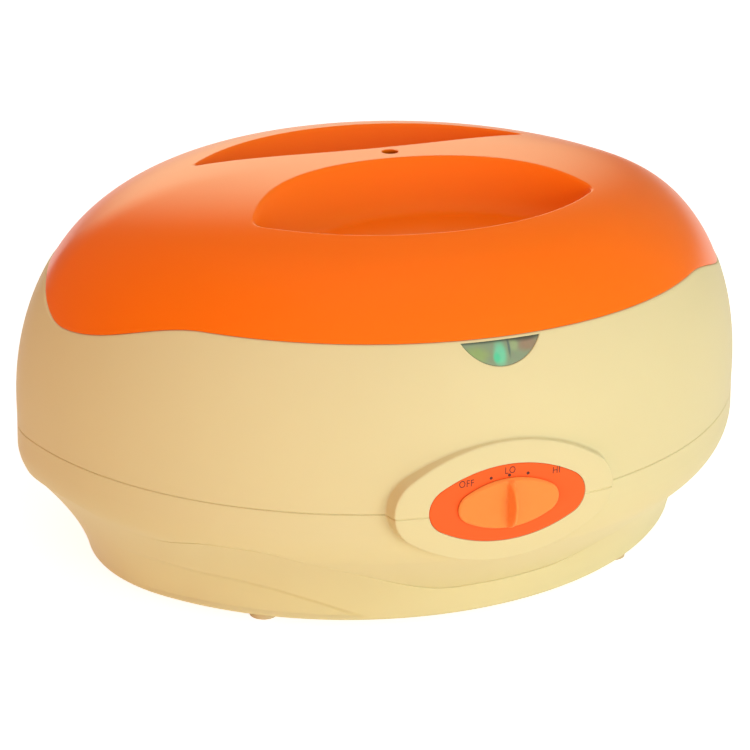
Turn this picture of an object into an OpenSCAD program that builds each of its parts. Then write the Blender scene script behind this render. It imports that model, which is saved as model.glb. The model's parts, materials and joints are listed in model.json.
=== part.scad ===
// Paraffin wax warmer: two-part oval housing, lift-off lid with twin finger grips, heated wax pot.
// Millimetres, +Z up, origin on the table under the middle of the body, front with the dial toward -Y.

/* [Body] */
// Length of the body at its widest, left to right
body_length = 378; // [366:1:390]
// Depth of the body at its widest, front to back
body_depth = 318.8; // [310:0.5:326]
// Radius that rounds the two ends of the oval plan
end_radius = 51.8; // [44:0.5:60]
// Height of the lid's crown above the table
crown_height = 195.5; // [192:0.5:202]
// Height of the seam between lower and upper housing
seam_height = 76; // [74:0.5:78]
// Wall thickness of the moulded housings
housing_wall = 2.6; // [2:0.1:3.2]
// Depth of the groove that marks the seam
seam_groove = 0.6; // [0.3:0.1:1]
// Height where the side wall is widest
widest_height = 66; // [63:0.5:68]
// Height where the side wall starts to lean in toward the crown
shoulder_height = 80; // [79:0.5:84]
// How far the side wall draws in between those two heights
wall_draft = 0.6; // [0.2:0.1:1.5]
// Radius of the curl under the belly
belly_radius = 24; // [20:0.5:28]
// Lean of the belly's underside from upright, in degrees
belly_lean = 50; // [46:1:54]

/* [Pedestal] */
// Length of the pedestal at the table
pedestal_length = 311; // [304:1:320]
// Depth of the pedestal at the table
pedestal_depth = 241; // [236:1:246]
// Radius that rounds the ends of the pedestal
pedestal_end_radius = 88; // [80:1:94]
// Height where the pedestal's wall meets the belly's underside
pedestal_top = 30; // [26:1:34]
// How far the pedestal's end leans out at that height
pedestal_flare = 6; // [3:0.5:9]
// Step by which the belly stands proud of the pedestal along the wave
wave_step = 2; // [1:0.25:3]
// Lowest height of the wave, at the front
wave_low = 19.3; // [16:0.1:22]
// Height of the wave round the sides and back
wave_high = 54; // [50:0.5:56]
// Depth of the wave's second trough
wave_ripple = 7; // [4:0.5:9]
// Plan angle of the wave's lowest place, from the front centre
wave_centre = 7; // [0:0.5:12]
// Edge rounding where the pedestal meets the floor plate
pedestal_edge = 2; // [1.5:0.25:3]

/* [Lid] */
// Height of the lid's lower edge
lid_edge_height = 150; // [148:0.5:152]
// How far the edge dips at each side lobe
lobe_drop = 14; // [8:0.5:16]
// Angle of each lobe from the front centre
lobe_angle = 80; // [76:1:84]
// Spread of a lobe toward the front, in degrees
lobe_front_spread = 28; // [22:1:32]
// Spread of a lobe toward the back, in degrees
lobe_back_spread = 14; // [11:1:18]
// Wall thickness of the lid
lid_wall = 2.6; // [2.2:0.1:3]
// Thickness of the lid's locating skirt
skirt_wall = 2.2; // [1.8:0.1:2.6]
// Clearance between the skirt and the housing rim
skirt_clearance = 0.5; // [0.3:0.05:0.8]
// Gap shown between lid edge and housing rim
lid_gap = 0.5; // [0.3:0.1:1]
// Clearance under the skirt where the edge is curved
lobe_clearance = 0.3; // [0.3:0.05:0.5]
// Depth of the front finger grip below the crown
front_grip_depth = 27; // [22:0.5:30]
// Depth of the rear finger grip below the crown
rear_grip_depth = 25; // [20:0.5:28]
// Lean of the grips' walls from upright, in degrees
grip_lean = 26; // [20:1:32]
// Radius at the bottom of a grip's wall
grip_fillet = 10; // [6:0.5:12]
// Rear edge of the front grip, measured back from the centre
front_grip_back = -7.5; // [-9:0.5:-6]
// Front edge of the front grip
front_grip_front = -103; // [-105:0.5:-99]
// Front edge of the rear grip
rear_grip_front = 14.5; // [13:0.5:17]
// Rear edge of the rear grip
rear_grip_back = 69.5; // [68:0.5:73]
// Plan radius of the front grip's inner edge
front_grip_inner_radius = 100; // [96:1:108]
// Plan radius of the front grip's outer edge
front_grip_outer_radius = 118; // [112:1:124]
// Plan radius of the rear grip's inner edge
rear_grip_inner_radius = 380; // [300:10:500]
// Plan radius of the rear grip's outer edge
rear_grip_outer_radius = 121; // [115:1:127]
// Diameter of the vent hole in the bridge between the grips
vent_diameter = 8; // [6:0.25:9]
// Sideways place of the vent hole
vent_x = 4; // [0:0.5:5]
// Front-to-back place of the vent hole
vent_y = 5; // [3:0.5:7]

/* [Upper housing] */
// Thickness of the rim the lid sits over
rim_wall = 2.2; // [2:0.1:2.6]
// Depth of the inner land below the rim
rim_depth = 6; // [5:0.5:7]
// Width of the land inside the rim
land_width = 16; // [13:0.5:19]
// Height of the pot seat
seat_height = 119.5; // [117:0.5:121]
// Height where the sloping deck reaches the pot well
well_height = 126; // [125:0.5:128]

/* [Wax pot] */
// Inside-to-inside length of the pot's outer wall
pot_length = 256; // [246:1:262]
// Front-to-back size of the pot's outer wall
pot_depth = 192; // [184:1:198]
// Radius that rounds the pot's ends
pot_end_radius = 60; // [54:1:66]
// Height of the pot's underside
pot_base_height = 46; // [44:0.5:50]
// Wall thickness of the pot
pot_wall = 1.6; // [1.2:0.1:2.2]
// Thickness of the pot's flange
flange_thickness = 1.4; // [1:0.1:2]
// Width of the pot's flange
flange_width = 12; // [10:0.5:13]
// Gap between the flange and the well wall
flange_gap = 1; // [0.6:0.1:1.5]
// Width of the opening round the pot under the flange
seat_gap = 3; // [2:0.25:4]
// Thickness of the sealing ring under the flange
gasket_thickness = 1.5; // [1:0.1:2]

/* [Grate] */
// Thickness of the protective grate
grate_thickness = 2.4; // [2:0.1:3]
// Gap between grate and pot wall
grate_gap = 4; // [3:0.25:6]
// Height of the grate's legs
grate_leg_height = 8; // [6:0.5:10]
// Diameter of the grate's legs
grate_leg_diameter = 7; // [6:0.5:9]
// Width of one slot in the grate
slot_width = 9; // [7:0.5:10]
// Distance from slot to slot
slot_pitch = 15; // [14:0.5:17]
// Number of slots on each side of the middle one
slots_each_side = 6; // [5:1:6]
// Width of the solid edge round the slots
grate_border = 10; // [8:0.5:13]
// Width of the bar across the slots
grate_spine = 10; // [8:0.5:14]

/* [Control] */
// Sideways place of the control group
control_x = -2; // [-4:0.5:0]
// Height of the knob's axis
control_height = 78.6; // [77.5:0.1:80]
// How far the boss face lies in front of the body's centre
boss_face = 161.7; // [161:0.1:163]
// Width of the boss
boss_width = 109; // [104:1:114]
// Height of the boss
boss_height = 59.4; // [56:0.2:62]
// Thickness of the boss's front wall
boss_wall = 4.6; // [4:0.1:5.5]
// Depth of the boss's collar behind its face
boss_collar = 14.5; // [13:0.5:16]
// Width of the bezel plate
bezel_width = 75.2; // [72:0.2:78]
// Height of the bezel plate
bezel_height = 36.6; // [34.6:1:36.6]
// Thickness of the bezel plate, let into the boss
bezel_thickness = 2; // [1.5:0.1:2.4]
// Width of the knob's oval cap
knob_width = 48.6; // [46:0.2:51]
// Height of the knob's oval cap
knob_height = 24; // [23:0.2:26]
// Thickness of the cap at its middle
knob_thickness = 2.2; // [2:0.1:3]
// Radius of the cap's gentle crown
knob_crown_radius = 190; // [160:10:300]
// Gap between cap and bezel
knob_gap = 0.4; // [0.3:0.05:0.6]
// Height of the knob's finger bar above the cap's back
knob_bar_height = 10.6; // [9:0.2:12]
// Width of the finger bar at its root
knob_bar_root = 6; // [5:0.5:9]
// Width of the finger bar at its crest
knob_bar_crest = 2.2; // [2:0.2:4]
// Diameter of the knob's hub
hub_diameter = 14; // [12:0.5:15]
// Radial clearance round the hub
hub_clearance = 0.5; // [0.35:0.05:0.7]
// Depth of the hub behind the cap
hub_depth = 6; // [5:0.5:7]
// Diameter of the thermostat's spindle
spindle_diameter = 6; // [5:0.5:7]
// Width across the spindle's flat
spindle_flat = 4.6; // [4:0.1:4.8]

/* [Thermostat] */
// Distance of the bracket plate behind the boss face
bracket_setback = 14.8; // [14.6:0.1:16]
// Thickness of the bracket plate
bracket_thickness = 1.5; // [1:0.1:2]
// Width of the bracket plate
bracket_width = 88; // [84:1:90]
// Height of the bracket plate
bracket_height = 36; // [32:1:38]
// Distance between the bracket's two screws
bracket_screw_spacing = 76; // [74:1:78]
// Height of the bracket's screws below the knob's axis
bracket_screw_drop = 12; // [11:0.5:13]
// Diameter of the thermostat's body
thermostat_diameter = 30; // [26:1:34]
// Depth of the thermostat's body
thermostat_depth = 16; // [13:0.5:18]
// Diameter of the thermostat's threaded neck
neck_diameter = 10; // [9:0.5:11]
// Length of the neck in front of the bracket
neck_length = 5; // [4.5:0.25:5]
// Width across the flats of the neck's nut
neck_nut_width = 14; // [13:0.5:16]
// Thickness of the neck's nut
neck_nut_thickness = 3; // [2:0.25:3.5]
// Running clearance of the spindle in the neck, radial
spindle_clearance = 0.05; // [0.03:0.01:0.08]

/* [Indicator] */
// Half the width of the indicator window at the rim
window_half_width = 18.9; // [17.5:0.1:19.5]
// Height of the indicator window
window_height = 10.4; // [10:0.1:12]
// Thickness of the window lens
lens_thickness = 1.8; // [1.4:0.1:2.2]
// How far the lens lies behind the housing's outer face
lens_setback = 0.3; // [0.2:0.05:0.6]
// Diameter of each indicator lamp
lamp_diameter = 6; // [5:0.25:6.5]
// Length of each indicator lamp
lamp_length = 11; // [9:0.5:12]
// Distance from the middle of the window to each lamp
lamp_offset = 8.5; // [7.5:0.25:9.5]
// Height of the lamps
lamp_height = 144; // [143.5:0.25:144.5]

/* [Heating] */
// Length of the heating mat
mat_length = 220; // [200:1:236]
// Depth of the heating mat
mat_depth = 156; // [140:1:170]
// Thickness of the heating mat
mat_thickness = 1.5; // [1:0.1:2]
// Thickness of the clamping plate
clamp_thickness = 1.2; // [1:0.1:2]
// How much smaller the clamping plate is all round
clamp_inset = 8; // [5:0.5:12]
// Sideways place of the clamp studs
stud_x = 70; // [60:1:76]
// Front-to-back place of the clamp studs
stud_y = 32; // [26:1:36]
// Diameter of the clamp studs
stud_diameter = 4; // [3.5:0.25:4.5]
// Length of the clamp studs below the pot
stud_length = 8; // [7.5:0.25:10]
// Width across the flats of the stud nuts
stud_nut_width = 7; // [6.5:0.25:8]
// Thickness of the stud nuts
stud_nut_thickness = 3.2; // [2.6:0.1:3.6]
// Thickness of the insulating wrap
wrap_thickness = 6; // [4:0.5:7]
// Height of the insulating wrap
wrap_height = 52; // [44:1:58]

/* [Fixings and feet] */
// Sideways place of the housing screws
post_x = 108; // [107:0.5:109]
// Front-to-back place of the housing screws
post_y = 74; // [73:0.5:75]
// Diameter of the screw posts
post_diameter = 11; // [10:0.5:12]
// Diameter of the housing screws
screw_diameter = 4; // [3.5:0.25:4]
// Diameter of the screw heads
screw_head_diameter = 7.4; // [7:0.2:7.6]
// Thickness of the screw heads
screw_head_thickness = 2.6; // [2:0.1:3]
// Height where the screw heads sit
screw_seat_height = 62; // [58:1:66]
// How far the screws reach into the upper posts
screw_reach = 16; // [12:1:20]
// Diameter of the well the screwdriver goes up
driver_well_diameter = 8; // [7.8:0.1:8.4]
// Height of the rubber feet
foot_height = 3; // [2.5:0.25:3.5]
// Diameter of the rubber feet
foot_diameter = 14; // [12:0.5:15]
// Diameter of the plug on each foot
foot_plug_diameter = 6; // [5:0.5:7]
// Sideways place of the feet
foot_x = 92; // [86:1:94]
// Front-to-back place of the feet
foot_y = 83; // [78:1:84]
// Thickness of the floor
floor_thickness = 2.6; // [2:0.1:3.2]

/* [Cord inlet] */
// Height of the cord inlet
inlet_height = 20; // [18:0.5:22]
// Bore of the cord bush
inlet_bore = 7.5; // [6.5:0.25:8]
// Diameter of the cord bush's neck
inlet_neck = 11; // [10.5:0.25:12]
// Diameter of the cord bush's flange
inlet_flange = 17; // [15.5:0.5:18]
// Thickness of the cord bush's flange
inlet_flange_thickness = 2.5; // [2:0.25:3]
// How far the flat for the bush lies under the wall's face
inlet_flat_depth = 0.8; // [0.6:0.1:1.2]
// Length of the bush's bend sleeve, from the flat
sleeve_length = 53; // [40:1:60]
// Diameter of the bend sleeve at the flange
sleeve_root_diameter = 12.4; // [11.6:0.2:13]
// Diameter of the bend sleeve at its end
sleeve_end_diameter = 10.4; // [9.8:0.2:11]
// Diameter of the bend sleeve's ribs
sleeve_rib_diameter = 13.6; // [13.2:0.2:15]
// Width of each rib on the bend sleeve
sleeve_rib_width = 3; // [2:0.25:3.5]
// Distance from rib to rib on the bend sleeve
sleeve_rib_pitch = 5.6; // [5:0.2:6]
// Number of ribs on the bend sleeve
sleeve_ribs = 8; // [5:1:8]

/* [Hidden] */
$fn = 96;
body_half = body_length / 2;
crown_reach = crown_height - shoulder_height;
crown_power = 2.31;
crown_root = 3.8;
columns_end = 3;
columns_side = 13;
columns_quarter = columns_end + columns_side;
columns = 4 * columns_quarter;
side_radius = side_radius_of(body_half, body_depth / 2, end_radius);
join_angle = atan2(side_radius - body_depth / 2, body_half - end_radius);
belly_arc_drop = belly_radius * sin(belly_lean);
belly_arc_in = belly_radius * (1 - cos(belly_lean));
pot_a = pot_length / 2;
pot_b = pot_depth / 2;
land_z = lid_edge_height - rim_depth;
flange_z = seat_height + gasket_thickness;
pot_floor_z = pot_base_height + pot_wall;
grate_z = pot_floor_z + grate_leg_height;
window_radius = (window_half_width * window_half_width + window_height * window_height) / (2 * window_height);
window_z = lid_edge_height - window_height + window_radius;
window_low = lid_edge_height - window_height;
bracket_y = -boss_face + bracket_setback;
cap_back_y = -boss_face - knob_gap;
post_top = seat_height + 3;
floor_z = foot_height + floor_thickness;
clamp_z = pot_base_height - mat_thickness - clamp_thickness;
inlet_wall_y = pedestal_depth / 2;
inlet_flat_y = inlet_wall_y - inlet_flat_depth;
eps = 0.01;

// Four-arc ovals: two side arcs and two end arcs, with the end arcs' radius given
function side_radius_of(a, b, r) = ((a - r) * (a - r) + b * b - r * r) / (2 * (b - r));

// Point of such an oval where its outward normal has angle t
function oval_point(a, b, r, t) =
  let (side = side_radius_of(a, b, r), off = side - b, join = atan2(off, a - r))
  abs(sin(t)) < sin(join)
    ? [sign(cos(t)) * (a - r) + r * cos(t), r * sin(t)]
    : [side * cos(t), side * sin(t) - sign(sin(t)) * off];

// Normal angle of one of the columns the shells are drawn through
function quarter_angle(i) = i < columns_end
  ? join_angle * i / columns_end
  : join_angle + (90 - join_angle) * (i - columns_end) / columns_side;
function column_angle(k) =
  let (q = floor(k / columns_quarter), i = k % columns_quarter)
  q == 0 ? quarter_angle(i)
  : q == 1 ? 180 - quarter_angle(columns_quarter - i)
  : q == 2 ? 180 + quarter_angle(i)
  : 360 - quarter_angle(columns_quarter - i);

// Half-length of the body's oval at height z
function belly_loss(drop) = drop < belly_arc_drop
  ? belly_radius - sqrt(belly_radius * belly_radius - drop * drop)
  : belly_arc_in + (drop - belly_arc_drop) * tan(belly_lean);
function half_at(z) = z > shoulder_height
  ? (body_half - wall_draft)
    * pow(max(0, 1 - pow((z - shoulder_height) / crown_reach, crown_power)), 1 / crown_root)
  : z > widest_height
  ? body_half - wall_draft * (z - widest_height) / (shoulder_height - widest_height)
  : body_half - belly_loss(widest_height - z);
function lean_at(z) = (half_at(z - 0.05) - half_at(z + 0.05)) / 0.1;

// Point of the body's skin, moved in by an amount measured level
function skin(t, half, inset, z) =
  let (p = oval_point(body_half, body_depth / 2, end_radius, t) * half / body_half)
  [p[0] - inset * cos(t), p[1] - inset * sin(t), z];

// The same, moved in square to the dome
function under_skin(t, z, depth) =
  let (g = lean_at(z), n = sqrt(1 + g * g))
  skin(t, half_at(z), depth / n, z - depth * g / n);

// Angle of a column from the front centre, as seen from above
function plan_angle(t) =
  let (p = oval_point(body_half, body_depth / 2, end_radius, t), a = atan2(p[0], -p[1])) a;

// Height of the lid's edge, with a lobe at each side
function edge_z(t) =
  let (a = abs(plan_angle(t)), spread = a < lobe_angle ? lobe_front_spread : lobe_back_spread,
       u = (a - lobe_angle) / spread)
  abs(u) < 1 ? lid_edge_height - lobe_drop * pow(cos(90 * u), 2) : lid_edge_height;

// Height of the wave where the belly steps back to the pedestal
function wave_z(t) =
  let (a = abs(plan_angle(t) - wave_centre), u = min(1, max(0, (a - 12) / 38)),
       v = min(1, max(0, (a - 54) / 30)))
  wave_low + (wave_high - wave_low) * u * u * (3 - 2 * u) - wave_ripple * pow(sin(180 * v), 2);

// Skin of the pedestal below the wave
function pedestal_point(t, z, inset) =
  let (lean = pedestal_flare * (z - foot_height) / (pedestal_top - foot_height),
       p = oval_point(pedestal_length / 2 + lean, pedestal_depth / 2 + lean / 2, pedestal_end_radius, t))
  [p[0] - inset * cos(t), p[1] - inset * sin(t), z];
function mix(p, q, f) = p + (q - p) * f;
function lower_point(t, z, inset) =
  let (top = wave_z(t))
  z <= pedestal_top || top <= pedestal_top
    ? pedestal_point(t, z, inset)
    : mix(pedestal_point(t, pedestal_top, inset), skin(t, half_at(top), wave_step + inset, top),
        (z - pedestal_top) / (top - pedestal_top));
function wall_point(t, z, inset) =
  z >= wave_z(t) ? skin(t, half_at(z), inset, z) : lower_point(t, z, inset);

// Skin through rings of points; a loop joins the last ring to the first, else poles close the ends
module loft(rings, loop, first_pole, last_pole) {
  n = len(rings[0]);
  m = len(rings);
  sides = [for (i = [0 : (loop ? m - 1 : m - 2)]) for (j = [0 : n - 1])
    let (a = i * n + j, b = i * n + (j + 1) % n, d = ((i + 1) % m) * n + j,
         c = ((i + 1) % m) * n + (j + 1) % n)
    each [[a, d, c], [a, c, b]]];
  caps = loop ? [] : [for (j = [0 : n - 1])
    each [[m * n, j, (j + 1) % n], [m * n + 1, (m - 1) * n + (j + 1) % n, (m - 1) * n + j]]];
  ring_points = [for (r = rings) each r];
  points = loop ? ring_points : concat(ring_points, [first_pole, last_pole]);
  polyhedron(points = points, faces = concat(sides, caps));
}

// Exact oval plate of the same four-arc form
module oval(a, b, r) {
  side = side_radius_of(a, b, r);
  off = side - b;
  reach = a - r + r * cos(atan2(off, a - r));
  intersection() {
    translate([0, -off]) circle(r = side);
    translate([0, off]) circle(r = side);
    square([2 * reach, 2 * b], center = true);
  }
  translate([a - r, 0]) circle(r = r);
  translate([r - a, 0]) circle(r = r);
}

// Upright oval plate whose front face looks along -Y
module upright_oval(width, height, front, thickness) {
  translate([control_x, front, control_height]) rotate([90, 0, 0]) mirror([0, 0, 1])
    linear_extrude(height = thickness) oval(width / 2, height / 2, 0.62 * height / 2);
}

// Round bar along Y from one y to another
module bar_y(x, y0, y1, z, d) {
  translate([x, y0, z]) rotate([-90, 0, 0]) cylinder(d = d, h = y1 - y0);
}

// Parts of the two heights of the housing that carry the control boss
module boss_block(z0, z1) {
  intersection() {
    upright_oval(boss_width, boss_height, -boss_face, boss_collar);
    translate([control_x - boss_width, -boss_face - 1, z0]) cube([2 * boss_width, 40, z1 - z0]);
  }
}
module boss_openings() {
  upright_oval(boss_width - 2 * housing_wall, boss_height - 2 * housing_wall, -boss_face + boss_wall, 40);
  upright_oval(bezel_width, bezel_height, -boss_face - 1, bezel_thickness + 1);
  bar_y(control_x, -boss_face - 1, -boss_face + boss_wall + 1, control_height,
    hub_diameter + 2 * hub_clearance);
}

// Rings of the lid: inside downward, round the skirt and edge, outside upward
lid_low_rows = [0.33, 0.66, 1];
lid_high_rows = [172, 177.5, 182, 186, 189.3, 191.8, 193.6, 194.7, 195.3];
function lid_row_z(z) = crown_height - (195.5 - z);
lid_first_high = lid_row_z(166);
function skirt_z(t) =
  let (e = edge_z(t)) e - rim_depth + (e < lid_edge_height - 0.01 ? lobe_clearance : 0);
function lid_low_point(t, f) =
  let (e = edge_z(t) + lid_gap, z = mix(e, lid_first_high, f)) skin(t, half_at(z), 0, z);
function edge_skin(t, inset, z) = skin(t, half_at(edge_z(t)), inset, z);

module dome_solid() {
  loft(concat(
    [[for (k = [0 : columns - 1]) let (t = column_angle(k)) edge_skin(t, 0, edge_z(t) + lid_gap)]],
    [for (f = lid_low_rows) [for (k = [0 : columns - 1]) lid_low_point(column_angle(k), f)]],
    [for (z = lid_high_rows) [for (k = [0 : columns - 1])
      skin(column_angle(k), half_at(lid_row_z(z)), 0, lid_row_z(z))]]),
    false, [0, 0, lid_edge_height], [0, 0, crown_height]);
}

module lid_shell() {
  inside_rows = [195, 193.4, 190.5, 186, 180, 172];
  loft(concat(
    [for (z = inside_rows) [for (k = [0 : columns - 1])
      under_skin(column_angle(k), lid_row_z(z), lid_wall)]],
    [[for (k = [0 : columns - 1]) let (t = column_angle(k)) under_skin(t, lid_row_z(162), lid_wall)]],
    [[for (k = [0 : columns - 1]) let (t = column_angle(k))
      edge_skin(t, rim_wall + skirt_clearance + skirt_wall, edge_z(t) + 3)]],
    [[for (k = [0 : columns - 1]) let (t = column_angle(k))
      edge_skin(t, rim_wall + skirt_clearance + skirt_wall, skirt_z(t))]],
    [[for (k = [0 : columns - 1]) let (t = column_angle(k))
      edge_skin(t, rim_wall + skirt_clearance, skirt_z(t))]],
    [[for (k = [0 : columns - 1]) let (t = column_angle(k))
      edge_skin(t, rim_wall + skirt_clearance, edge_z(t) + lid_gap)]],
    [[for (k = [0 : columns - 1]) let (t = column_angle(k)) edge_skin(t, 0, edge_z(t) + lid_gap)]],
    [for (f = lid_low_rows) [for (k = [0 : columns - 1]) lid_low_point(column_angle(k), f)]],
    [for (z = lid_high_rows) [for (k = [0 : columns - 1])
      skin(column_angle(k), half_at(lid_row_z(z)), 0, lid_row_z(z))]]),
    false, [0, 0, crown_height - lid_wall], [0, 0, crown_height]);
}

// Round bowl whose wall leans and meets its floor in a fillet; two of them crossing make one grip
module grip_bowl(radius, floor_z, grow) {
  top = crown_height + 12;
  tan_lean = tan(grip_lean);
  foot = radius + grow - (crown_height - floor_z) * tan_lean;
  turn = grip_fillet * tan((90 - grip_lean) / 2);
  rotate_extrude() union() {
    polygon([[0, floor_z - grow], [foot - turn, floor_z - grow],
      [foot - turn + grip_fillet * sin((90 - grip_lean) / 2), floor_z - grow
        + grip_fillet * (1 - cos((90 - grip_lean) / 2))],
      [foot + turn * sin(grip_lean), floor_z - grow + turn * cos(grip_lean)],
      [radius + grow + 12 * tan_lean, top], [0, top]]);
  }
}
module front_grip(grow) {
  floor_z = crown_height - front_grip_depth;
  intersection() {
    translate([0, front_grip_back - front_grip_inner_radius, 0])
      grip_bowl(front_grip_inner_radius, floor_z, grow);
    translate([0, front_grip_front + front_grip_outer_radius, 0])
      grip_bowl(front_grip_outer_radius, floor_z, grow);
  }
}
module rear_grip(grow) {
  floor_z = crown_height - rear_grip_depth;
  intersection() {
    translate([0, rear_grip_front + rear_grip_inner_radius, 0])
      grip_bowl(rear_grip_inner_radius, floor_z, grow);
    translate([0, rear_grip_back - rear_grip_outer_radius, 0])
      grip_bowl(rear_grip_outer_radius, floor_z, grow);
  }
}

module lid() {
  color([0.98, 0.42, 0.11]) difference() {
    union() {
      lid_shell();
      intersection() {
        translate([0, 0, -lid_wall / 2]) dome_solid();
        union() {
          front_grip(lid_wall);
          rear_grip(lid_wall);
        }
      }
    }
    front_grip(0);
    rear_grip(0);
    translate([vent_x, vent_y, crown_height - 20]) cylinder(d = vent_diameter, h = 30);
    translate([-25, -150, land_z - 4]) cube([50, 24, rim_depth + 4.3]);
  }
}

// Upper housing: side wall, rim, land, sloping deck and pot seat in one closed ring
module upper_ring() {
  wall_fractions = [0.3, 0.55, 0.75, 0.9, 1];
  low = seam_height + seam_groove;
  loft(concat(
    [[for (k = [0 : columns - 1]) skin(column_angle(k), half_at(seam_height), seam_groove, seam_height)]],
    [[for (k = [0 : columns - 1]) skin(column_angle(k), half_at(low), 0, low)]],
    [for (f = wall_fractions) [for (k = [0 : columns - 1])
      let (t = column_angle(k), z = mix(low, edge_z(t), f)) skin(t, half_at(z), 0, z)]],
    [[for (k = [0 : columns - 1]) let (t = column_angle(k)) edge_skin(t, rim_wall, edge_z(t))]],
    [[for (k = [0 : columns - 1]) let (t = column_angle(k)) edge_skin(t, rim_wall, edge_z(t) - rim_depth)]],
    [[for (k = [0 : columns - 1]) let (t = column_angle(k)) edge_skin(t, land_width, edge_z(t) - rim_depth)]],
    [[for (k = [0 : columns - 1]) pot_ring(column_angle(k), flange_width + flange_gap, well_height)]],
    [[for (k = [0 : columns - 1]) pot_ring(column_angle(k), flange_width + flange_gap, seat_height)]],
    [[for (k = [0 : columns - 1]) pot_ring(column_angle(k), seat_gap, seat_height)]],
    [[for (k = [0 : columns - 1]) pot_ring(column_angle(k), seat_gap, seat_height - housing_wall)]],
    [[for (k = [0 : columns - 1]) pot_ring(column_angle(k), flange_width + flange_gap + housing_wall,
      seat_height - housing_wall)]],
    [[for (k = [0 : columns - 1]) let (t = column_angle(k))
      edge_skin(t, land_width, edge_z(t) - rim_depth - housing_wall - 0.6)]],
    [[for (k = [0 : columns - 1]) let (t = column_angle(k), z = edge_z(t) - rim_depth - housing_wall - 0.6)
      skin(t, half_at(z), housing_wall, z)]],
    [[for (k = [0 : columns - 1]) skin(column_angle(k), half_at(108), housing_wall, 108)]],
    [[for (k = [0 : columns - 1]) skin(column_angle(k), half_at(seam_height), housing_wall, seam_height)]]),
    true, [0, 0, 0], [0, 0, 0]);
}
function pot_ring(t, out, z) =
  let (p = oval_point(pot_a, pot_b, pot_end_radius, t)) [p[0] + out * cos(t), p[1] + out * sin(t), z];

module at_posts() {
  for (sx = [-1, 1]) for (sy = [-1, 1]) translate([sx * post_x, sy * post_y, 0]) children();
}

module upper_housing() {
  color([0.95, 0.86, 0.70]) difference() {
    union() {
      upper_ring();
      boss_block(seam_height, control_height + boss_height);
      at_posts() translate([0, 0, seam_height]) cylinder(d = post_diameter, h = post_top - seam_height);
    }
    boss_openings();
    at_posts() translate([0, 0, seam_height - 1]) cylinder(d = screw_diameter, h = screw_reach + 3);
    bar_y(0, -160, -132, window_z, 2 * window_radius);
    translate([-19, -141.6, window_low - 2]) cube([38, 16, lid_edge_height - window_low + 3]);
  }
}

// Lower housing: floor, pedestal, wave and belly in one open bowl
module lower_bowl() {
  belly_fractions = [0, 0.2, 0.4, 0.6, 0.8, 1];
  loft(concat(
    [[for (k = [0 : columns - 1]) pedestal_point(column_angle(k), foot_height, pedestal_edge)]],
    [[for (k = [0 : columns - 1]) pedestal_point(column_angle(k), foot_height + 0.3 * pedestal_edge,
      0.3 * pedestal_edge)]],
    [[for (k = [0 : columns - 1]) pedestal_point(column_angle(k), foot_height + pedestal_edge, 0)]],
    [for (f = [0.5, 1]) [for (k = [0 : columns - 1]) let (t = column_angle(k),
      z = mix(foot_height + pedestal_edge, min(wave_z(t), pedestal_top) - 0.6, f)) lower_point(t, z, 0)]],
    [[for (k = [0 : columns - 1]) let (t = column_angle(k)) lower_point(t, wave_z(t), 0)]],
    [for (f = belly_fractions) [for (k = [0 : columns - 1]) let (t = column_angle(k), z0 = wave_z(t),
      z = z0 + f * (widest_height - z0)) skin(t, half_at(z), 0, z)]],
    [[for (k = [0 : columns - 1]) skin(column_angle(k), half_at(seam_height - seam_groove), 0,
      seam_height - seam_groove)]],
    [[for (k = [0 : columns - 1]) skin(column_angle(k), half_at(seam_height), seam_groove, seam_height)]],
    [[for (k = [0 : columns - 1]) skin(column_angle(k), half_at(seam_height), housing_wall, seam_height)]],
    [for (z = [widest_height - 4, 54, 42, 30, 16, floor_z + 2]) [for (k = [0 : columns - 1])
      wall_point(column_angle(k), z, housing_wall + wave_step)]],
    [[for (k = [0 : columns - 1]) pedestal_point(column_angle(k), floor_z, housing_wall + wave_step + 2)]]),
    false, [0, 0, foot_height], [0, 0, floor_z]);
}

module lower_housing() {
  color([0.94, 0.85, 0.68]) difference() {
    union() {
      lower_bowl();
      boss_block(control_height - boss_height, seam_height);
      at_posts() translate([0, 0, foot_height + 1.5])
        cylinder(d = post_diameter, h = seam_height - foot_height - 1.5);
      bracket_posts();
    }
    boss_hollow();
    at_posts() translate([0, 0, foot_height - 1]) cylinder(d = driver_well_diameter, h = screw_seat_height
      - foot_height + 1);
    at_posts() translate([0, 0, foot_height]) cylinder(d = screw_diameter + 0.4, h = seam_height);
    at_feet() translate([0, 0, foot_height - 1]) cylinder(d = foot_plug_diameter, h = floor_thickness + 2);
    bar_y(0, inlet_flat_y - 14, inlet_flat_y + 8, inlet_height, inlet_neck);
    bar_y(0, inlet_flat_y, inlet_flat_y + 12, inlet_height, inlet_flange + 1);
    bracket_pilots();
  }
}
module at_feet() {
  for (sx = [-1, 1]) for (sy = [-1, 1]) translate([sx * foot_x, sy * foot_y, 0]) children();
}
module bracket_posts() {
  for (s = [-1, 1]) bar_y(control_x + s * bracket_screw_spacing / 2, -boss_face + boss_wall - 0.5, bracket_y,
    control_height - bracket_screw_drop, 8);
}
module bracket_pilots() {
  for (s = [-1, 1]) bar_y(control_x + s * bracket_screw_spacing / 2, bracket_y - 8, bracket_y + 1,
    control_height - bracket_screw_drop, 3);
}
// The boss's openings, sparing the posts that carry the thermostat bracket
module boss_hollow() {
  difference() {
    boss_openings();
    bracket_posts();
  }
}

module control_bezel() {
  color([0.95, 0.38, 0.14]) difference() {
    upright_oval(bezel_width, bezel_height, -boss_face, bezel_thickness);
    bar_y(control_x, -boss_face - 1, -boss_face + bezel_thickness + 1, control_height,
      hub_diameter + 2 * hub_clearance);
  }
}

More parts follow.
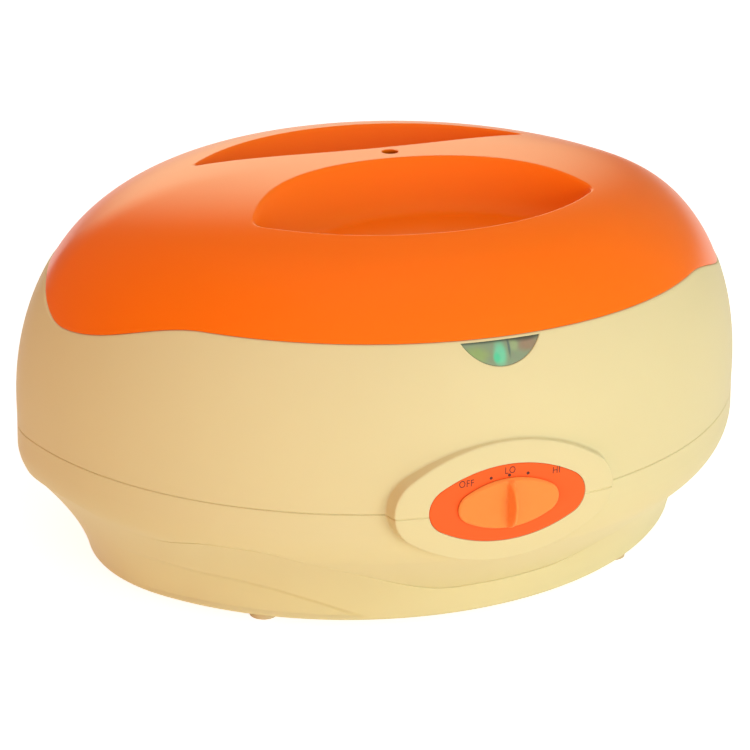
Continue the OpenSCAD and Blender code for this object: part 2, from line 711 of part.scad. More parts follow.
module knob() {
  color([1, 0.55, 0.25]) difference() {
    union() {
      intersection() {
        upright_oval(knob_width, knob_height, cap_back_y - knob_thickness, knob_thickness);
        translate([control_x, cap_back_y - knob_thickness + knob_crown_radius, control_height])
          sphere(r = knob_crown_radius, $fn = 360);
      }
      knob_bar();
      bar_y(control_x, cap_back_y - 0.5, cap_back_y + hub_depth, control_height, hub_diameter);
    }
    spindle_shape(cap_back_y - 0.5, cap_back_y + hub_depth + 1);
  }
}
// Finger bar across the cap: wedge in plan, round in side view
module knob_bar() {
  intersection() {
    translate([control_x - knob_bar_root, cap_back_y, control_height]) rotate([0, 90, 0])
      cylinder(r = (knob_bar_height * knob_bar_height + knob_height * knob_height / 4 - knob_height
        + 1) / (2 * knob_bar_height), h = 2 * knob_bar_root);
    translate([control_x, cap_back_y, control_height - knob_height / 2]) linear_extrude(height = knob_height)
      polygon([[-knob_bar_root / 2, 0], [-knob_bar_crest / 2, -knob_bar_height],
        [knob_bar_crest / 2, -knob_bar_height], [knob_bar_root / 2, 0]]);
  }
}
// Spindle with its driving flat
module spindle_shape(y0, y1) {
  intersection() {
    bar_y(control_x, y0, y1, control_height, spindle_diameter);
    translate([control_x - spindle_diameter / 2, y0 - 1, control_height - spindle_diameter / 2])
      cube([spindle_diameter, y1 - y0 + 2, spindle_flat]);
  }
}

module thermostat_spindle() {
  color([0.75, 0.75, 0.76]) union() {
    spindle_shape(cap_back_y - 0.5, cap_back_y + hub_depth);
    bar_y(control_x, cap_back_y + hub_depth, bracket_y + bracket_thickness + 4, control_height,
      spindle_diameter);
  }
}

module thermostat() {
  color([0.82, 0.80, 0.74]) difference() {
    union() {
      bar_y(control_x, bracket_y + bracket_thickness, bracket_y + bracket_thickness + thermostat_depth,
        control_height, thermostat_diameter);
      bar_y(control_x, bracket_y - neck_length, bracket_y + bracket_thickness + 1, control_height,
        neck_diameter);
      for (s = [-1, 1])
        translate([control_x + s * 8 - 3, bracket_y + bracket_thickness + thermostat_depth - 1,
          control_height - 0.4]) cube([6, 9, 0.8]);
    }
    bar_y(control_x, bracket_y - neck_length - 1, bracket_y + bracket_thickness + 5, control_height,
      spindle_diameter + 2 * spindle_clearance);
  }
}

module thermostat_nut() {
  color([0.78, 0.70, 0.45]) difference() {
    translate([control_x, bracket_y, control_height]) rotate([90, 0, 0])
      cylinder(d = neck_nut_width / cos(30), h = neck_nut_thickness, $fn = 6);
    bar_y(control_x, bracket_y - neck_nut_thickness - 1, bracket_y + 1, control_height, neck_diameter);
  }
}

module thermostat_bracket() {
  color([0.72, 0.73, 0.75]) difference() {
    translate([control_x - bracket_width / 2, bracket_y, control_height - bracket_height / 2])
      cube([bracket_width, bracket_thickness, bracket_height]);
    bar_y(control_x, bracket_y - 1, bracket_y + bracket_thickness + 1, control_height, neck_diameter);
    for (s = [-1, 1]) bar_y(control_x + s * bracket_screw_spacing / 2, bracket_y - 1,
      bracket_y + bracket_thickness + 1, control_height - bracket_screw_drop, 3);
  }
}

module bracket_screws() {
  color([0.7, 0.7, 0.72]) for (s = [-1, 1]) {
    bar_y(control_x + s * bracket_screw_spacing / 2, bracket_y + bracket_thickness,
      bracket_y + bracket_thickness + 2, control_height - bracket_screw_drop, 6);
    bar_y(control_x + s * bracket_screw_spacing / 2, bracket_y - 7, bracket_y + bracket_thickness + 0.5,
      control_height - bracket_screw_drop, 3);
  }
}

// Window lens: a slice of the cone the housing's face makes at the front
function face_y(z) = half_at(z) * body_depth / body_length;
module window_cone(setback) {
  centre = (side_radius - body_depth / 2) * half_at(lamp_height) / body_half;
  translate([0, centre, window_low - 1]) cylinder(r1 = face_y(window_low - 1) + centre - setback,
    r2 = face_y(lid_edge_height) + centre - setback, h = window_height + 1, $fn = 200);
}
module indicator_lens() {
  color([0.35, 0.55, 0.5]) intersection() {
    difference() {
      window_cone(lens_setback);
      window_cone(lens_setback + lens_thickness);
    }
    bar_y(0, -160, -132, window_z, 2 * window_radius);
    translate([-30, -170, 0]) cube([60, 60, lid_edge_height]);
  }
}

module lamp_holder() {
  color([0.2, 0.2, 0.2]) difference() {
    union() {
      translate([-18.5, -141, window_low - 1.5]) cube([37, 14.8, lid_edge_height - window_low + 0.5]);
      translate([-23, -139.4, land_z]) cube([46, 16, 1.6]);
    }
    for (s = [-1, 1]) {
      bar_y(s * lamp_offset, -142, -128.6, lamp_height, lamp_diameter);
      bar_y(s * lamp_offset, -142, -138.6, lamp_height, lamp_diameter + 3.4);
    }
  }
}

module lamp(x) {
  bar_y(x, -139.6 + lamp_diameter / 2, -139.6 + lamp_length, lamp_height, lamp_diameter);
  translate([x, -139.6 + lamp_diameter / 2, lamp_height]) sphere(d = lamp_diameter);
}
module lamp_green() {
  color([0.2, 0.85, 0.6]) lamp(-lamp_offset);
}
module lamp_red() {
  color([0.9, 0.25, 0.15]) lamp(lamp_offset);
}

module wax_pot() {
  color([0.8, 0.81, 0.83]) difference() {
    union() {
      translate([0, 0, pot_base_height])
        linear_extrude(height = flange_z + flange_thickness - pot_base_height)
          oval(pot_a, pot_b, pot_end_radius);
      translate([0, 0, flange_z]) linear_extrude(height = flange_thickness)
        oval(pot_a + flange_width, pot_b + flange_width, pot_end_radius + flange_width);
    }
    translate([0, 0, pot_floor_z]) linear_extrude(height = flange_z)
      oval(pot_a - pot_wall, pot_b - pot_wall, pot_end_radius - pot_wall);
  }
}

module oval_ring(inner_out, outer_out, z, height) {
  translate([0, 0, z]) linear_extrude(height = height) difference() {
    oval(pot_a + outer_out, pot_b + outer_out, pot_end_radius + outer_out);
    oval(pot_a + inner_out, pot_b + inner_out, pot_end_radius + inner_out);
  }
}
module pot_gasket() {
  color([0.85, 0.85, 0.82]) oval_ring(seat_gap, flange_width, seat_height, gasket_thickness);
}
module insulating_wrap() {
  color([0.92, 0.91, 0.86]) oval_ring(0, wrap_thickness, pot_base_height + 6, wrap_height);
}

module grate_plate(in) {
  oval(pot_a - pot_wall - in, pot_b - pot_wall - in, pot_end_radius - pot_wall - in);
}
module bottom_grate() {
  color([0.95, 0.94, 0.9]) union() {
    translate([0, 0, grate_z]) linear_extrude(height = grate_thickness) difference() {
      grate_plate(grate_gap);
      intersection() {
        grate_plate(grate_gap + grate_border);
        union() {
          for (i = [-slots_each_side : slots_each_side]) for (s = [-1, 1])
            translate([i * slot_pitch - slot_width / 2, s > 0 ? grate_spine / 2 : -grate_spine / 2 - pot_b])
              square([slot_width, pot_b]);
        }
      }
    }
    for (sx = [-1, 1]) for (sy = [-1, 1]) translate([sx * 76, sy * 56, pot_floor_z])
      cylinder(d = grate_leg_diameter, h = grate_leg_height + 1);
  }
}

module at_studs() {
  for (sx = [-1, 1]) for (sy = [-1, 1]) translate([sx * stud_x, sy * stud_y, 0]) children();
}
module heating_mat() {
  color([0.75, 0.35, 0.2]) difference() {
    translate([0, 0, pot_base_height - mat_thickness]) linear_extrude(height = mat_thickness)
      oval(mat_length / 2, mat_depth / 2, mat_depth / 3);
    at_studs() translate([0, 0, pot_base_height - mat_thickness - 1]) cylinder(d = stud_diameter, h = 4);
  }
}
module clamp_plate() {
  color([0.7, 0.71, 0.72]) difference() {
    translate([0, 0, clamp_z]) linear_extrude(height = clamp_thickness)
      oval(mat_length / 2 - clamp_inset, mat_depth / 2 - clamp_inset, mat_depth / 3 - clamp_inset);
    at_studs() translate([0, 0, clamp_z - 1]) cylinder(d = stud_diameter, h = 4);
  }
}
module clamp_studs() {
  color([0.6, 0.6, 0.62]) at_studs() translate([0, 0, pot_base_height - stud_length])
    cylinder(d = stud_diameter, h = stud_length);
}
module clamp_nuts() {
  color([0.74, 0.72, 0.6]) at_studs() translate([0, 0, clamp_z - stud_nut_thickness]) difference() {
    cylinder(d = stud_nut_width / cos(30), h = stud_nut_thickness, $fn = 6);
    translate([0, 0, -1]) cylinder(d = stud_diameter, h = stud_nut_thickness + 2);
  }
}

module thermal_fuse() {
  color([0.9, 0.88, 0.8]) difference() {
    translate([14, -7, clamp_z - 6]) cube([28, 14, 6]);
    translate([13, 0, clamp_z - 3]) rotate([0, 90, 0]) cylinder(d = 3, h = 30);
  }
}

module terminal_block() {
  color([0.9, 0.9, 0.88]) difference() {
    translate([-20, 62, floor_z]) cube([40, 20, 12]);
    for (i = [-1 : 1]) {
      translate([i * 12, 72, floor_z + 3]) cylinder(d = 4, h = 12);
      bar_y(i * 12, 60, 84, floor_z + 5, 3);
    }
    for (s = [-1, 1]) translate([s * 6 - 0.75, 61, floor_z + 4]) cube([1.5, 22, 9]);
  }
}

module housing_screws() {
  color([0.66, 0.66, 0.68]) at_posts() {
    translate([0, 0, screw_seat_height - screw_head_thickness])
      cylinder(d = screw_head_diameter, h = screw_head_thickness);
    translate([0, 0, screw_seat_height - 0.5]) cylinder(d = screw_diameter,
      h = seam_height - screw_seat_height + screw_reach + 0.5);
  }
}

module rubber_feet() {
  color([0.25, 0.24, 0.23]) at_feet() {
    cylinder(d = foot_diameter, h = foot_height);
    translate([0, 0, foot_height - 0.5]) cylinder(d = foot_plug_diameter, h = floor_thickness + 1.5);
  }
}

module cord_bush() {
  sleeve_root = inlet_flat_y + inlet_flange_thickness;
  sleeve_end = inlet_flat_y + sleeve_length;
  color([0.9, 0.85, 0.72]) difference() {
    union() {
      bar_y(0, inlet_flat_y, sleeve_root, inlet_height, inlet_flange);
      bar_y(0, inlet_flat_y - 9, inlet_flat_y + 0.5, inlet_height, inlet_neck);
      translate([0, sleeve_root - eps, inlet_height]) rotate([-90, 0, 0])
        cylinder(d1 = sleeve_root_diameter, d2 = sleeve_end_diameter, h = sleeve_end - sleeve_root + eps);
      for (i = [0:sleeve_ribs - 1])
        translate([0, sleeve_rib_pitch * (i + 0.6), 0])
          bar_y(0, sleeve_root, sleeve_root + sleeve_rib_width, inlet_height, sleeve_rib_diameter);
    }
    bar_y(0, inlet_flat_y - 10, sleeve_end + 1, inlet_height, inlet_bore);
  }
}

lid();
upper_housing();
lower_housing();
control_bezel();
knob();
thermostat_spindle();
thermostat();
thermostat_nut();
thermostat_bracket();
bracket_screws();
indicator_lens();
lamp_holder();
lamp_green();
lamp_red();
wax_pot();
pot_gasket();
bottom_grate();
heating_mat();
clamp_plate();
clamp_studs();
clamp_nuts();
insulating_wrap();
thermal_fuse();
terminal_block();
housing_screws();
rubber_feet();
cord_bush();
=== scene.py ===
import json
import math

import bpy
import numpy as np
from mathutils import Matrix, Vector
from mathutils.geometry import delaunay_2d_cdt


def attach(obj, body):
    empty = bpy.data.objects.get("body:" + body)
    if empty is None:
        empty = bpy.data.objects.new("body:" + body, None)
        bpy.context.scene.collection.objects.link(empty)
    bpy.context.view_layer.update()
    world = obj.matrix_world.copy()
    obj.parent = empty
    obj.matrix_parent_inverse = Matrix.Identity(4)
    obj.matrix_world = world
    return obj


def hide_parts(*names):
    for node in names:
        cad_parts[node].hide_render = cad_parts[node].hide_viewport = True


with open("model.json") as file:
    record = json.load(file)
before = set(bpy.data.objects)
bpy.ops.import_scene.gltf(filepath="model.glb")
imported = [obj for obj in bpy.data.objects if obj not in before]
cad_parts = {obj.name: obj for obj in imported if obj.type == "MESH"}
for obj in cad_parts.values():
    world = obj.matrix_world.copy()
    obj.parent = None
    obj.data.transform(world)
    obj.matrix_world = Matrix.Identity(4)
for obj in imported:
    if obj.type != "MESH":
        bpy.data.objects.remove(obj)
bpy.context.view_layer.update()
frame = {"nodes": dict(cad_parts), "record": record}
nodes = frame["nodes"]
MM = 0.001
QUARTER, TURN = np.pi / 2, 2 * np.pi

# Shape numbers in millimetres; the comments say where they are degrees
# Body in plan, a four-arc oval: half length, half depth, radius of its ends
BODY_A, BODY_B, BODY_R = 189.0, 159.4, 51.8
# Heights of the lid's top, the dome's start, the widest place and the seam
CROWN, SHOULDER, WIDEST, SEAM = 195.5, 80.0, 66.0, 76.0
# The dome seen from the front is a superellipse with these powers
DOME_OUT, DOME_UP = 3.8, 2.31
# Lean of the short straight wall, depth of the seam's groove
DRAFT, GROOVE = 0.6, 0.55
# Belly: radius of its curl, and the lean in which the curl ends
BELLY_R, BELLY_LEAN = 24.0, math.radians(50)

# Foot: half length, half depth, end radius; flare up to PED_TOP; height of the bottom and its rounded edge
PED_A, PED_B, PED_R = 155.5, 120.5, 88.0
PED_TOP, PED_FLARE, FOOT, PED_EDGE = 30.0, 6.0, 3.0, 2.0
# Wave between belly and foot: heights, dip at the sides, middle in degrees, step in to the foot
WAVE_LOW, WAVE_HIGH, RIPPLE, WAVE_MID, WAVE_STEP = 19.3, 54.0, 7.0, 7.0, 0.6
# Degrees from the middle at which the wave rises and dips, and over how many
RISE_FROM, RISE_OVER, DIP_FROM, DIP_OVER = 12, 38, 54, 30
# The wave's lip: groove under it, and how the foot's wall bends out to it
LIP_GROOVE, FLARE_POWER = 1.4, 1.9
# Second relief line on the foot's front left: height over degrees, and its step
SECOND_AT = (-75, -60, -50.4, -44.7, -41.3, -37.6, -34.2, -29.9, -25.3, -18)
SECOND_Z = (29.5, 27.5, 25.5, 24.5, 23.1, 21.2, 18.4, 14.4, 9.6, 2.5)
SECOND_STEP = 1.5

# Lid's edge: height, depth of its side lobes, their middle and their widths to the front and back in degrees
EDGE_Z, LOBE, LOBE_AT, LOBE_F, LOBE_B = 150.0, 14.0, 80.0, 28.0, 14.0
# Lid: wall, inset and rounding of its edge, height at which it stands over the rim, tongue inside the rim
LID_WALL, LID_INSET, EDGE_ROUND, EDGE_GAP = 2.6, 0.45, 0.5, 0.12
TONGUE_OUT, TONGUE_IN, RIM_DEPTH = 2.7, 4.9, 6.0
# Share of the lid's half length that its free mesh covers, and the half length its lattice is cut at
LID_FILL, FREE_HALF = 0.78, 173.0
# Softness of the grips' rims on the outer and the inner skin
SOFT_OUTER, SOFT_INNER = 2.6, 3.0
# Finger grips: lean of the bowls, sideways shift, curve at the floor, curve where two bowls cross
GRIP_LEAN, GRIP_SHIFT, GRIP_FILLET, GRIP_CREASE = math.radians(26), 2.4, 16.0, 10
# Each grip: depth, then the y place of each bowl's axis and its radius
GRIPS = ((27.0, ((-108.0, 101.0), (15.0, 118.9))), (25.0, ((394.5, 380.0), (-51.5, 121.0))))
# The y places inside the grips from which their rims are searched, and how far
GRIP_MIDDLES, GRIP_REACH = (-57.0, 42.0), 125.0
# Vent hole: place, radius, rounding of its mouth
VENT_X, VENT_Y, VENT_R, VENT_ROUND = 4.0, 5.0, 4.0, 0.5

# Upper housing: oval and heights of the ledge that holds the pot
POT_A, POT_B, POT_R = 128, 96, 60
LEDGE_TOP, POT_SEAT, LEDGE_UNDER = 126.3, 119.5, 116.9
# Height where the wall's rows begin to follow the rim, and the rim's rounding
BELT, RIM_ROUND = 111.0, 0.8
# Columns of the lid's outer and inner skin, points round the boss's outline and the recess's
LID_COLUMNS, INSIDE_COLUMNS, BOSS_POINTS, RECESS_POINTS = 720, 420, 420, 300

# Boss round the dial: middle, distance of its face, half sizes, rounding of its edge
CX, CZ, FACE = -2.0, 78.6, 161.7
BOSS_A, BOSS_B, BOSS_ROUND = 54.5, 29.7, 1.1
# Slope of its flank, height of the seam on its face, slope by which the face leans back outward
FLANK_DRAFT, FACE_SEAM, FACE_LEAN = 0.09, SEAM + 0.9, 0.15
FACE_A, FACE_B, FACE_Y = BOSS_A - 1.4, BOSS_B - 0.9, -FACE - 0.05
# Upright ovals: end radius as a share of the half height
UPRIGHT_END = 0.62
# Bezel's half sizes, and its recess with a rounded edge
BEZEL_A, BEZEL_B = 37.6, 18.3
RECESS_A, RECESS_B, RECESS_ROUND = BEZEL_A + 0.16, BEZEL_B + 0.16, 0.3
# Knob: half sizes, edge radius, height of its crown and finger bar, half size of the bar
KNOB_A, KNOB_B, KNOB_EDGE = 24.3, 12.0, 0.4
KNOB_CROWN, BAR_HIGH, BAR_HALF, BAR_THICK = 1.55, 9.0, 11.3, 1.35
# Window: half width, height, top edge, and the arc through them
WIN_A, WIN_H, WIN_TOP = 18.9, 10.8, 149.2
LENS_R = (WIN_A ** 2 + WIN_H ** 2) / (2 * WIN_H)
LENS_Z = WIN_TOP - WIN_H + LENS_R


# Curves
def side_of(a, b, r):
    """Radius of the long sides of a four-arc oval."""
    return ((a - r) ** 2 + b * b - r * r) / (2 * (b - r))


def oval(a, b, r, t):
    """Four-arc oval, by the angle of its outward normal."""
    side = side_of(a, b, r)
    off = side - b
    join = np.arctan2(off, a - r)
    c, s = np.cos(t), np.sin(t)
    end = np.abs(s) < np.sin(join)
    x = np.where(end, np.sign(c) * (a - r) + r * c, side * c)
    y = np.where(end, r * s, side * s - np.sign(s) * off)
    return x, y


def oval_distance(a, b, x, z):
    """Signed distance to a four-arc oval standing upright."""
    r = UPRIGHT_END * b
    side = side_of(a, b, r)
    off = side - b
    join = math.atan2(off, a - r)
    px, pz = np.abs(x), np.abs(z)
    end = np.arctan2(pz, px - (a - r)) < join
    return np.where(end, np.hypot(px - (a - r), pz) - r, np.hypot(px, pz + off) - side)


def half_at(z):
    """Half length of the body at a height."""
    z = np.asarray(z, float)
    u = np.clip((z - SHOULDER) / (CROWN - SHOULDER), 0, 1)
    dome = (BODY_A - DRAFT) * np.power(np.clip(1 - u ** DOME_UP, 0, 1), 1 / DOME_OUT)
    wall = BODY_A - DRAFT * (z - WIDEST) / (SHOULDER - WIDEST)
    drop = np.clip(WIDEST - z, 0, None)
    arc = BELLY_R * math.sin(BELLY_LEAN)
    curl = BELLY_R - np.sqrt(np.clip(BELLY_R ** 2 - np.minimum(drop, arc) ** 2, 0, None))
    straight = BELLY_R * (1 - math.cos(BELLY_LEAN)) + (drop - arc) * math.tan(BELLY_LEAN)
    belly = BODY_A - np.where(drop < arc, curl, straight)
    return np.where(z > SHOULDER, dome, np.where(z > WIDEST, wall, belly))


def dome_z(half, grow=0.0):
    """Height of the dome at a half length; grow moves it inward."""
    q = np.clip(half / (BODY_A - DRAFT - grow), 0, 1)
    return SHOULDER + (CROWN - grow - SHOULDER) * np.power(np.clip(1 - q ** DOME_OUT, 0, 1), 1 / DOME_UP)


def skin(t, half, inset):
    """Plan of the body at normal angle t, scaled to a half length and moved inward."""
    x, y = oval(BODY_A, BODY_B, BODY_R, t)
    return x * half / BODY_A - inset * np.cos(t), y * half / BODY_A - inset * np.sin(t)


def plan_angle(t):
    """Degrees round from the front, positive to the right."""
    x, y = oval(BODY_A, BODY_B, BODY_R, t)
    return np.degrees(np.arctan2(x, -y))


def edge_z(t):
    """Height of the lid's edge, which runs down in a lobe at both sides."""
    a = np.abs(plan_angle(t))
    u = (a - LOBE_AT) / np.where(a < LOBE_AT, LOBE_F, LOBE_B)
    return np.where(np.abs(u) < 1, EDGE_Z - LOBE * np.cos(QUARTER * np.clip(u, -1, 1)) ** 2, EDGE_Z)


def ramp(value, start, over):
    """0 up to start, then rising to 1."""
    return np.clip((value - start) / over, 0, 1)


def wave_z(t):
    """Height of the wave's lip between belly and foot."""
    a = np.abs(plan_angle(t) - WAVE_MID)
    u, v = ramp(a, RISE_FROM, RISE_OVER), ramp(a, DIP_FROM, DIP_OVER)
    return WAVE_LOW + (WAVE_HIGH - WAVE_LOW) * u * u * (3 - 2 * u) - RIPPLE * np.sin(np.pi * v) ** 2


def smooth_min(a, b, k):
    h = np.clip(0.5 + 0.5 * (b - a) / k, 0, 1)
    return b + (a - b) * h - k * h * (1 - h)


def smooth_max(a, b, k):
    return -smooth_min(-a, -b, k)


def running_length(x, y):
    return np.concatenate([[0], np.cumsum(np.hypot(np.diff(x), np.diff(y)))])


def columns(n, dense=None, fine=1.0, coarse=1.0):
    """Normal angles for n columns, closer together where |x| < dense at the front."""
    t = np.linspace(-3 * QUARTER, QUARTER, 40001)
    x, y = oval(BODY_A, BODY_B, BODY_R, t)
    step = np.hypot(np.diff(x), np.diff(y))
    weight = np.full(len(step), 1.0 / coarse)
    if dense:
        mid = 0.5 * (x[1:] + x[:-1])
        front = 0.5 * (y[1:] + y[:-1]) < 0
        soft = 1 / (1 + np.exp((np.abs(mid - CX) - dense) / 3.0))
        weight = np.where(front, weight + soft / fine, weight)
    total = np.concatenate([[0], np.cumsum(step * weight)])
    return np.interp(np.arange(n) / n * total[-1], total, t)


def housing_columns():
    return columns(820, 24.0, 0.4, 1.4)


# Meshes
def new_mesh(name, verts, faces):
    """Smooth mesh from points in metres and faces with equally many corners."""
    mesh = bpy.data.meshes.new(name)
    mesh.vertices.add(len(verts))
    mesh.vertices.foreach_set("co", verts.ravel())
    mesh.loops.add(faces.size)
    mesh.loops.foreach_set("vertex_index", faces.ravel())
    mesh.polygons.add(len(faces))
    mesh.polygons.foreach_set("loop_start", np.arange(0, faces.size, faces.shape[1], dtype=np.int32))
    mesh.update(calc_edges=True)
    mesh.validate()
    mesh.polygons.foreach_set("use_smooth", np.full(len(mesh.polygons), True))
    return mesh


def make_object(name, verts, faces, body, replaced=()):
    verts = np.asarray(verts, np.float32).reshape(-1, 3) * MM
    obj = bpy.data.objects.new(name, new_mesh(name, verts, np.asarray(faces, np.int32)))
    bpy.context.scene.collection.objects.link(obj)
    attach(obj, body)
    if replaced:
        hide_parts(*replaced)
    return obj


def grid_faces(rows, cols, wrap=True, flip=False):
    i = np.arange(rows - 1)[:, None]
    j = np.arange(cols if wrap else cols - 1)[None, :]
    a, b = i * cols + j, i * cols + (j + 1) % cols
    c, d = (i + 1) * cols + (j + 1) % cols, (i + 1) * cols + j
    return np.stack([a, d, c, b] if flip else [a, b, c, d], -1).reshape(-1, 4)


def sheet(name, rings, body, replaced=(), flip=False, wrap=True):
    """Rows of points as one smooth skin, wrapped round unless told otherwise."""
    grid = np.stack(rings, 0)
    faces = grid_faces(grid.shape[0], grid.shape[1], wrap, flip)
    return make_object(name, grid, faces, body, replaced)


def ring(x, y, z):
    """Row of points; any of the three may be one number."""
    return np.stack(np.broadcast_arrays(x, y, z), -1)


def drop_faces(obj, test):
    """Removes the four-cornered faces whose middle passes the test, in millimetres."""
    mesh = obj.data
    centre = np.zeros(len(mesh.polygons) * 3, np.float32)
    mesh.polygons.foreach_get("center", centre)
    gone = test(*(centre.reshape(-1, 3) / MM).T)
    co = np.zeros(len(mesh.vertices) * 3, np.float32)
    mesh.vertices.foreach_get("co", co)
    loops = np.zeros(len(mesh.loops), np.int32)
    mesh.loops.foreach_get("vertex_index", loops)
    quads = loops.reshape(-1, 4)[~gone]
    used = np.unique(quads)
    index = np.full(len(co) // 3, -1)
    index[used] = np.arange(len(used))
    obj.data = new_mesh(mesh.name + "_open", co.reshape(-1, 3)[used], index[quads].astype(np.int32))


def slope_normals(height, x, y, h=0.04):
    """Unit normals of a surface given as a height over x and y."""
    dx = (height(x + h, y) - height(x - h, y)) / (2 * h)
    dy = (height(x, y + h) - height(x, y - h)) / (2 * h)
    n = np.stack([-dx, -dy, np.ones_like(dx)], -1)
    return n / np.linalg.norm(n, axis=-1, keepdims=True)


def own_normals(obj, normals):
    """Sets exact normals at the points; zero keeps the mesh's own."""
    obj.data.normals_split_custom_set_from_vertices([tuple(v) for v in normals.tolist()])


def nearest(points, others):
    """Distance from each point to the closest of the others."""
    out = np.empty(len(points))
    for i in range(0, len(points), 2000):
        part = points[i:i + 2000, None, :] - others[None, :, :]
        out[i:i + 2000] = np.sqrt((part ** 2).sum(-1).min(1))
    return out


def fill(loops, free, keep):
    """Triangles between fixed loops and free points; keep tests the triangles' middles."""
    edges = []
    start = 0
    for loop in loops:
        edges += [(start + i, start + (i + 1) % len(loop)) for i in range(len(loop))]
        start += len(loop)
    points = np.concatenate(list(loops) + [free])
    found = delaunay_2d_cdt([Vector(p) for p in points.tolist()], edges, [], 0, 1e-5)
    plan = np.array([tuple(v) for v in found[0]])
    tris = np.array([tuple(f) for f in found[2] if len(f) == 3], np.int32)
    return plan, tris[keep(plan[tris].mean(1))]


# Lid
def bowl(rho, radius, floor, grow):
    """Height of a bowl's surface at distance rho from its axis."""
    foot = radius + grow - (CROWN - floor) * math.tan(GRIP_LEAN)
    wall = floor - grow + (rho - foot) / math.tan(GRIP_LEAN)
    return smooth_max(np.full_like(rho, floor - grow), wall, GRIP_FILLET)


def grips(x, y, grow):
    """Heights of the front and the rear grip over a point, each two leaning bowls that cross."""
    heights = []
    for depth, bowls in GRIPS:
        pair = [bowl(np.hypot(x + GRIP_SHIFT, y - middle), radius, CROWN - depth, grow)
                for middle, radius in bowls]
        heights.append(smooth_max(*pair, GRIP_CREASE))
    return heights


def gauge(x, y):
    """Scale at which the body's oval passes through a point."""
    side = side_of(BODY_A, BODY_B, BODY_R)
    off, w = side - BODY_B, BODY_A - BODY_R
    join = math.atan2(off, w)
    jx, jy = w + BODY_R * math.cos(join), BODY_R * math.sin(join)
    x, y = np.abs(x), np.abs(y)
    q, p, rr = side * side - off * off, w * w - BODY_R ** 2, x * x + y * y
    by_side = (y * off + np.sqrt(y * y * off * off + q * rr)) / q
    by_end = (x * w - np.sqrt(np.clip(x * x * w * w - p * rr, 0, None))) / p
    return np.where(y * jx > x * jy, by_side, by_end)


def in_grip(x, y, height):
    return height < dome_z(gauge(x, y) * BODY_A)


def lid_height(x, y, grow=0.0, soft=SOFT_OUTER):
    """Height of the lid's skin: the dome, cut by both grips."""
    front, rear = grips(x, y, grow)
    return smooth_min(smooth_min(dome_z(gauge(x, y) * BODY_A, grow), front, soft), rear, soft)


def lid_underside(x, y):
    return lid_height(x, y, LID_WALL, SOFT_INNER)


def vent_distance(x, y):
    return np.hypot(x - VENT_X, y - VENT_Y)


def lid_skin(x, y):
    """The lid's height with the rounded mouth of the vent hole."""
    u = np.clip((VENT_R + VENT_ROUND - vent_distance(x, y)) / VENT_ROUND, 0, 1)
    return lid_height(x, y) - VENT_ROUND * (1 - np.sqrt(np.clip(1 - u * u, 0, 1)))


def grip_rim(which, spacing=0.8):
    """Plan outline of a grip, evenly spaced, with its outward normals."""
    th = np.linspace(0, TURN, 3001)
    low, high = np.zeros_like(th), np.full_like(th, GRIP_REACH)
    for _ in range(40):
        mid = (low + high) / 2
        x, y = mid * np.cos(th), GRIP_MIDDLES[which] + mid * np.sin(th)
        inside = in_grip(x, y, grips(x, y, 0.0)[which])
        low, high = np.where(inside, mid, low), np.where(inside, high, mid)
    x, y = low * np.cos(th), GRIP_MIDDLES[which] + low * np.sin(th)
    s = running_length(x, y)
    n = int(s[-1] / spacing)
    u = np.arange(n) / n * s[-1]
    p = np.stack([np.interp(u, s, x), np.interp(u, s, y)], -1)
    d = np.roll(p, -1, 0) - np.roll(p, 1, 0)
    d /= np.linalg.norm(d, axis=1, keepdims=True)
    return p, np.stack([d[:, 1], -d[:, 0]], -1)


def rim_bands(rims, rim_points):
    """Points in bands on both sides of the grips' rims, wider apart farther out."""
    bands = []
    for p, n in rims:
        for d, every in ((0.22, 1), (0.45, 1), (0.75, 1), (1.15, 1), (1.7, 2), (2.5, 2), (3.6, 3), (5.0, 4)):
            for side in (-1, 1):
                q = (p + side * d * n)[::every]
                bands.append(q[nearest(q, rim_points) > 0.97 * d])
    return bands


def lid_lattice(step, inside_grips, rim_points, border):
    """Triangular lattice over the crown, inside or outside the grips."""
    gx, gy = np.meshgrid(np.arange(-140, 140, step), np.arange(-118, 118, step * 0.866))
    gx = gx + (np.arange(gx.shape[0]) % 2)[:, None] * step / 2
    q = np.stack([gx.ravel(), gy.ravel()], -1)
    q = q[in_grip(*q.T, np.minimum(*grips(*q.T, 0.0))) == inside_grips]
    q = q[nearest(q, rim_points) > 5.0 + step * 0.4]
    q = q[vent_distance(*q.T) > VENT_R + 3.5]
    return q[nearest(q, border) > 1.6]


def lid_edge_half(t):
    return half_at(edge_z(t) + EDGE_GAP)


def build_lid_top():
    """Crown with both grips and the vent, fine along every rim."""
    t = columns(LID_COLUMNS)
    border = np.stack(skin(t, lid_edge_half(t) * LID_FILL, 0), -1)
    rims = [grip_rim(0), grip_rim(1)]
    rim_points = np.concatenate([p for p, _ in rims])
    a = np.arange(40) / 40 * 2 * np.pi
    circle = np.stack([np.cos(a), np.sin(a)], -1)
    vent = np.array([VENT_X, VENT_Y])
    free = rim_bands(rims, rim_points)
    free += [vent + circle * (VENT_R + d) for d in (0.06, 0.18, 0.34, 0.5, 0.8, 1.5, 2.6)]
    free += [lid_lattice(step, inside, rim_points, border) for step, inside in ((1.5, True), (3.0, False))]
    free = np.concatenate(free)
    free = free[gauge(*free.T) * BODY_A < LID_FILL * FREE_HALF]
    plan, tris = fill([p for p, _ in rims] + [vent + circle * VENT_R, border], free,
                      lambda c: vent_distance(*c.T) > VENT_R * 0.99)
    x, y = plan.T
    obj = make_object("lid_top", ring(x, y, lid_skin(x, y)), tris, "lid_body", ())
    own_normals(obj, slope_normals(lid_skin, x, y))
    return obj


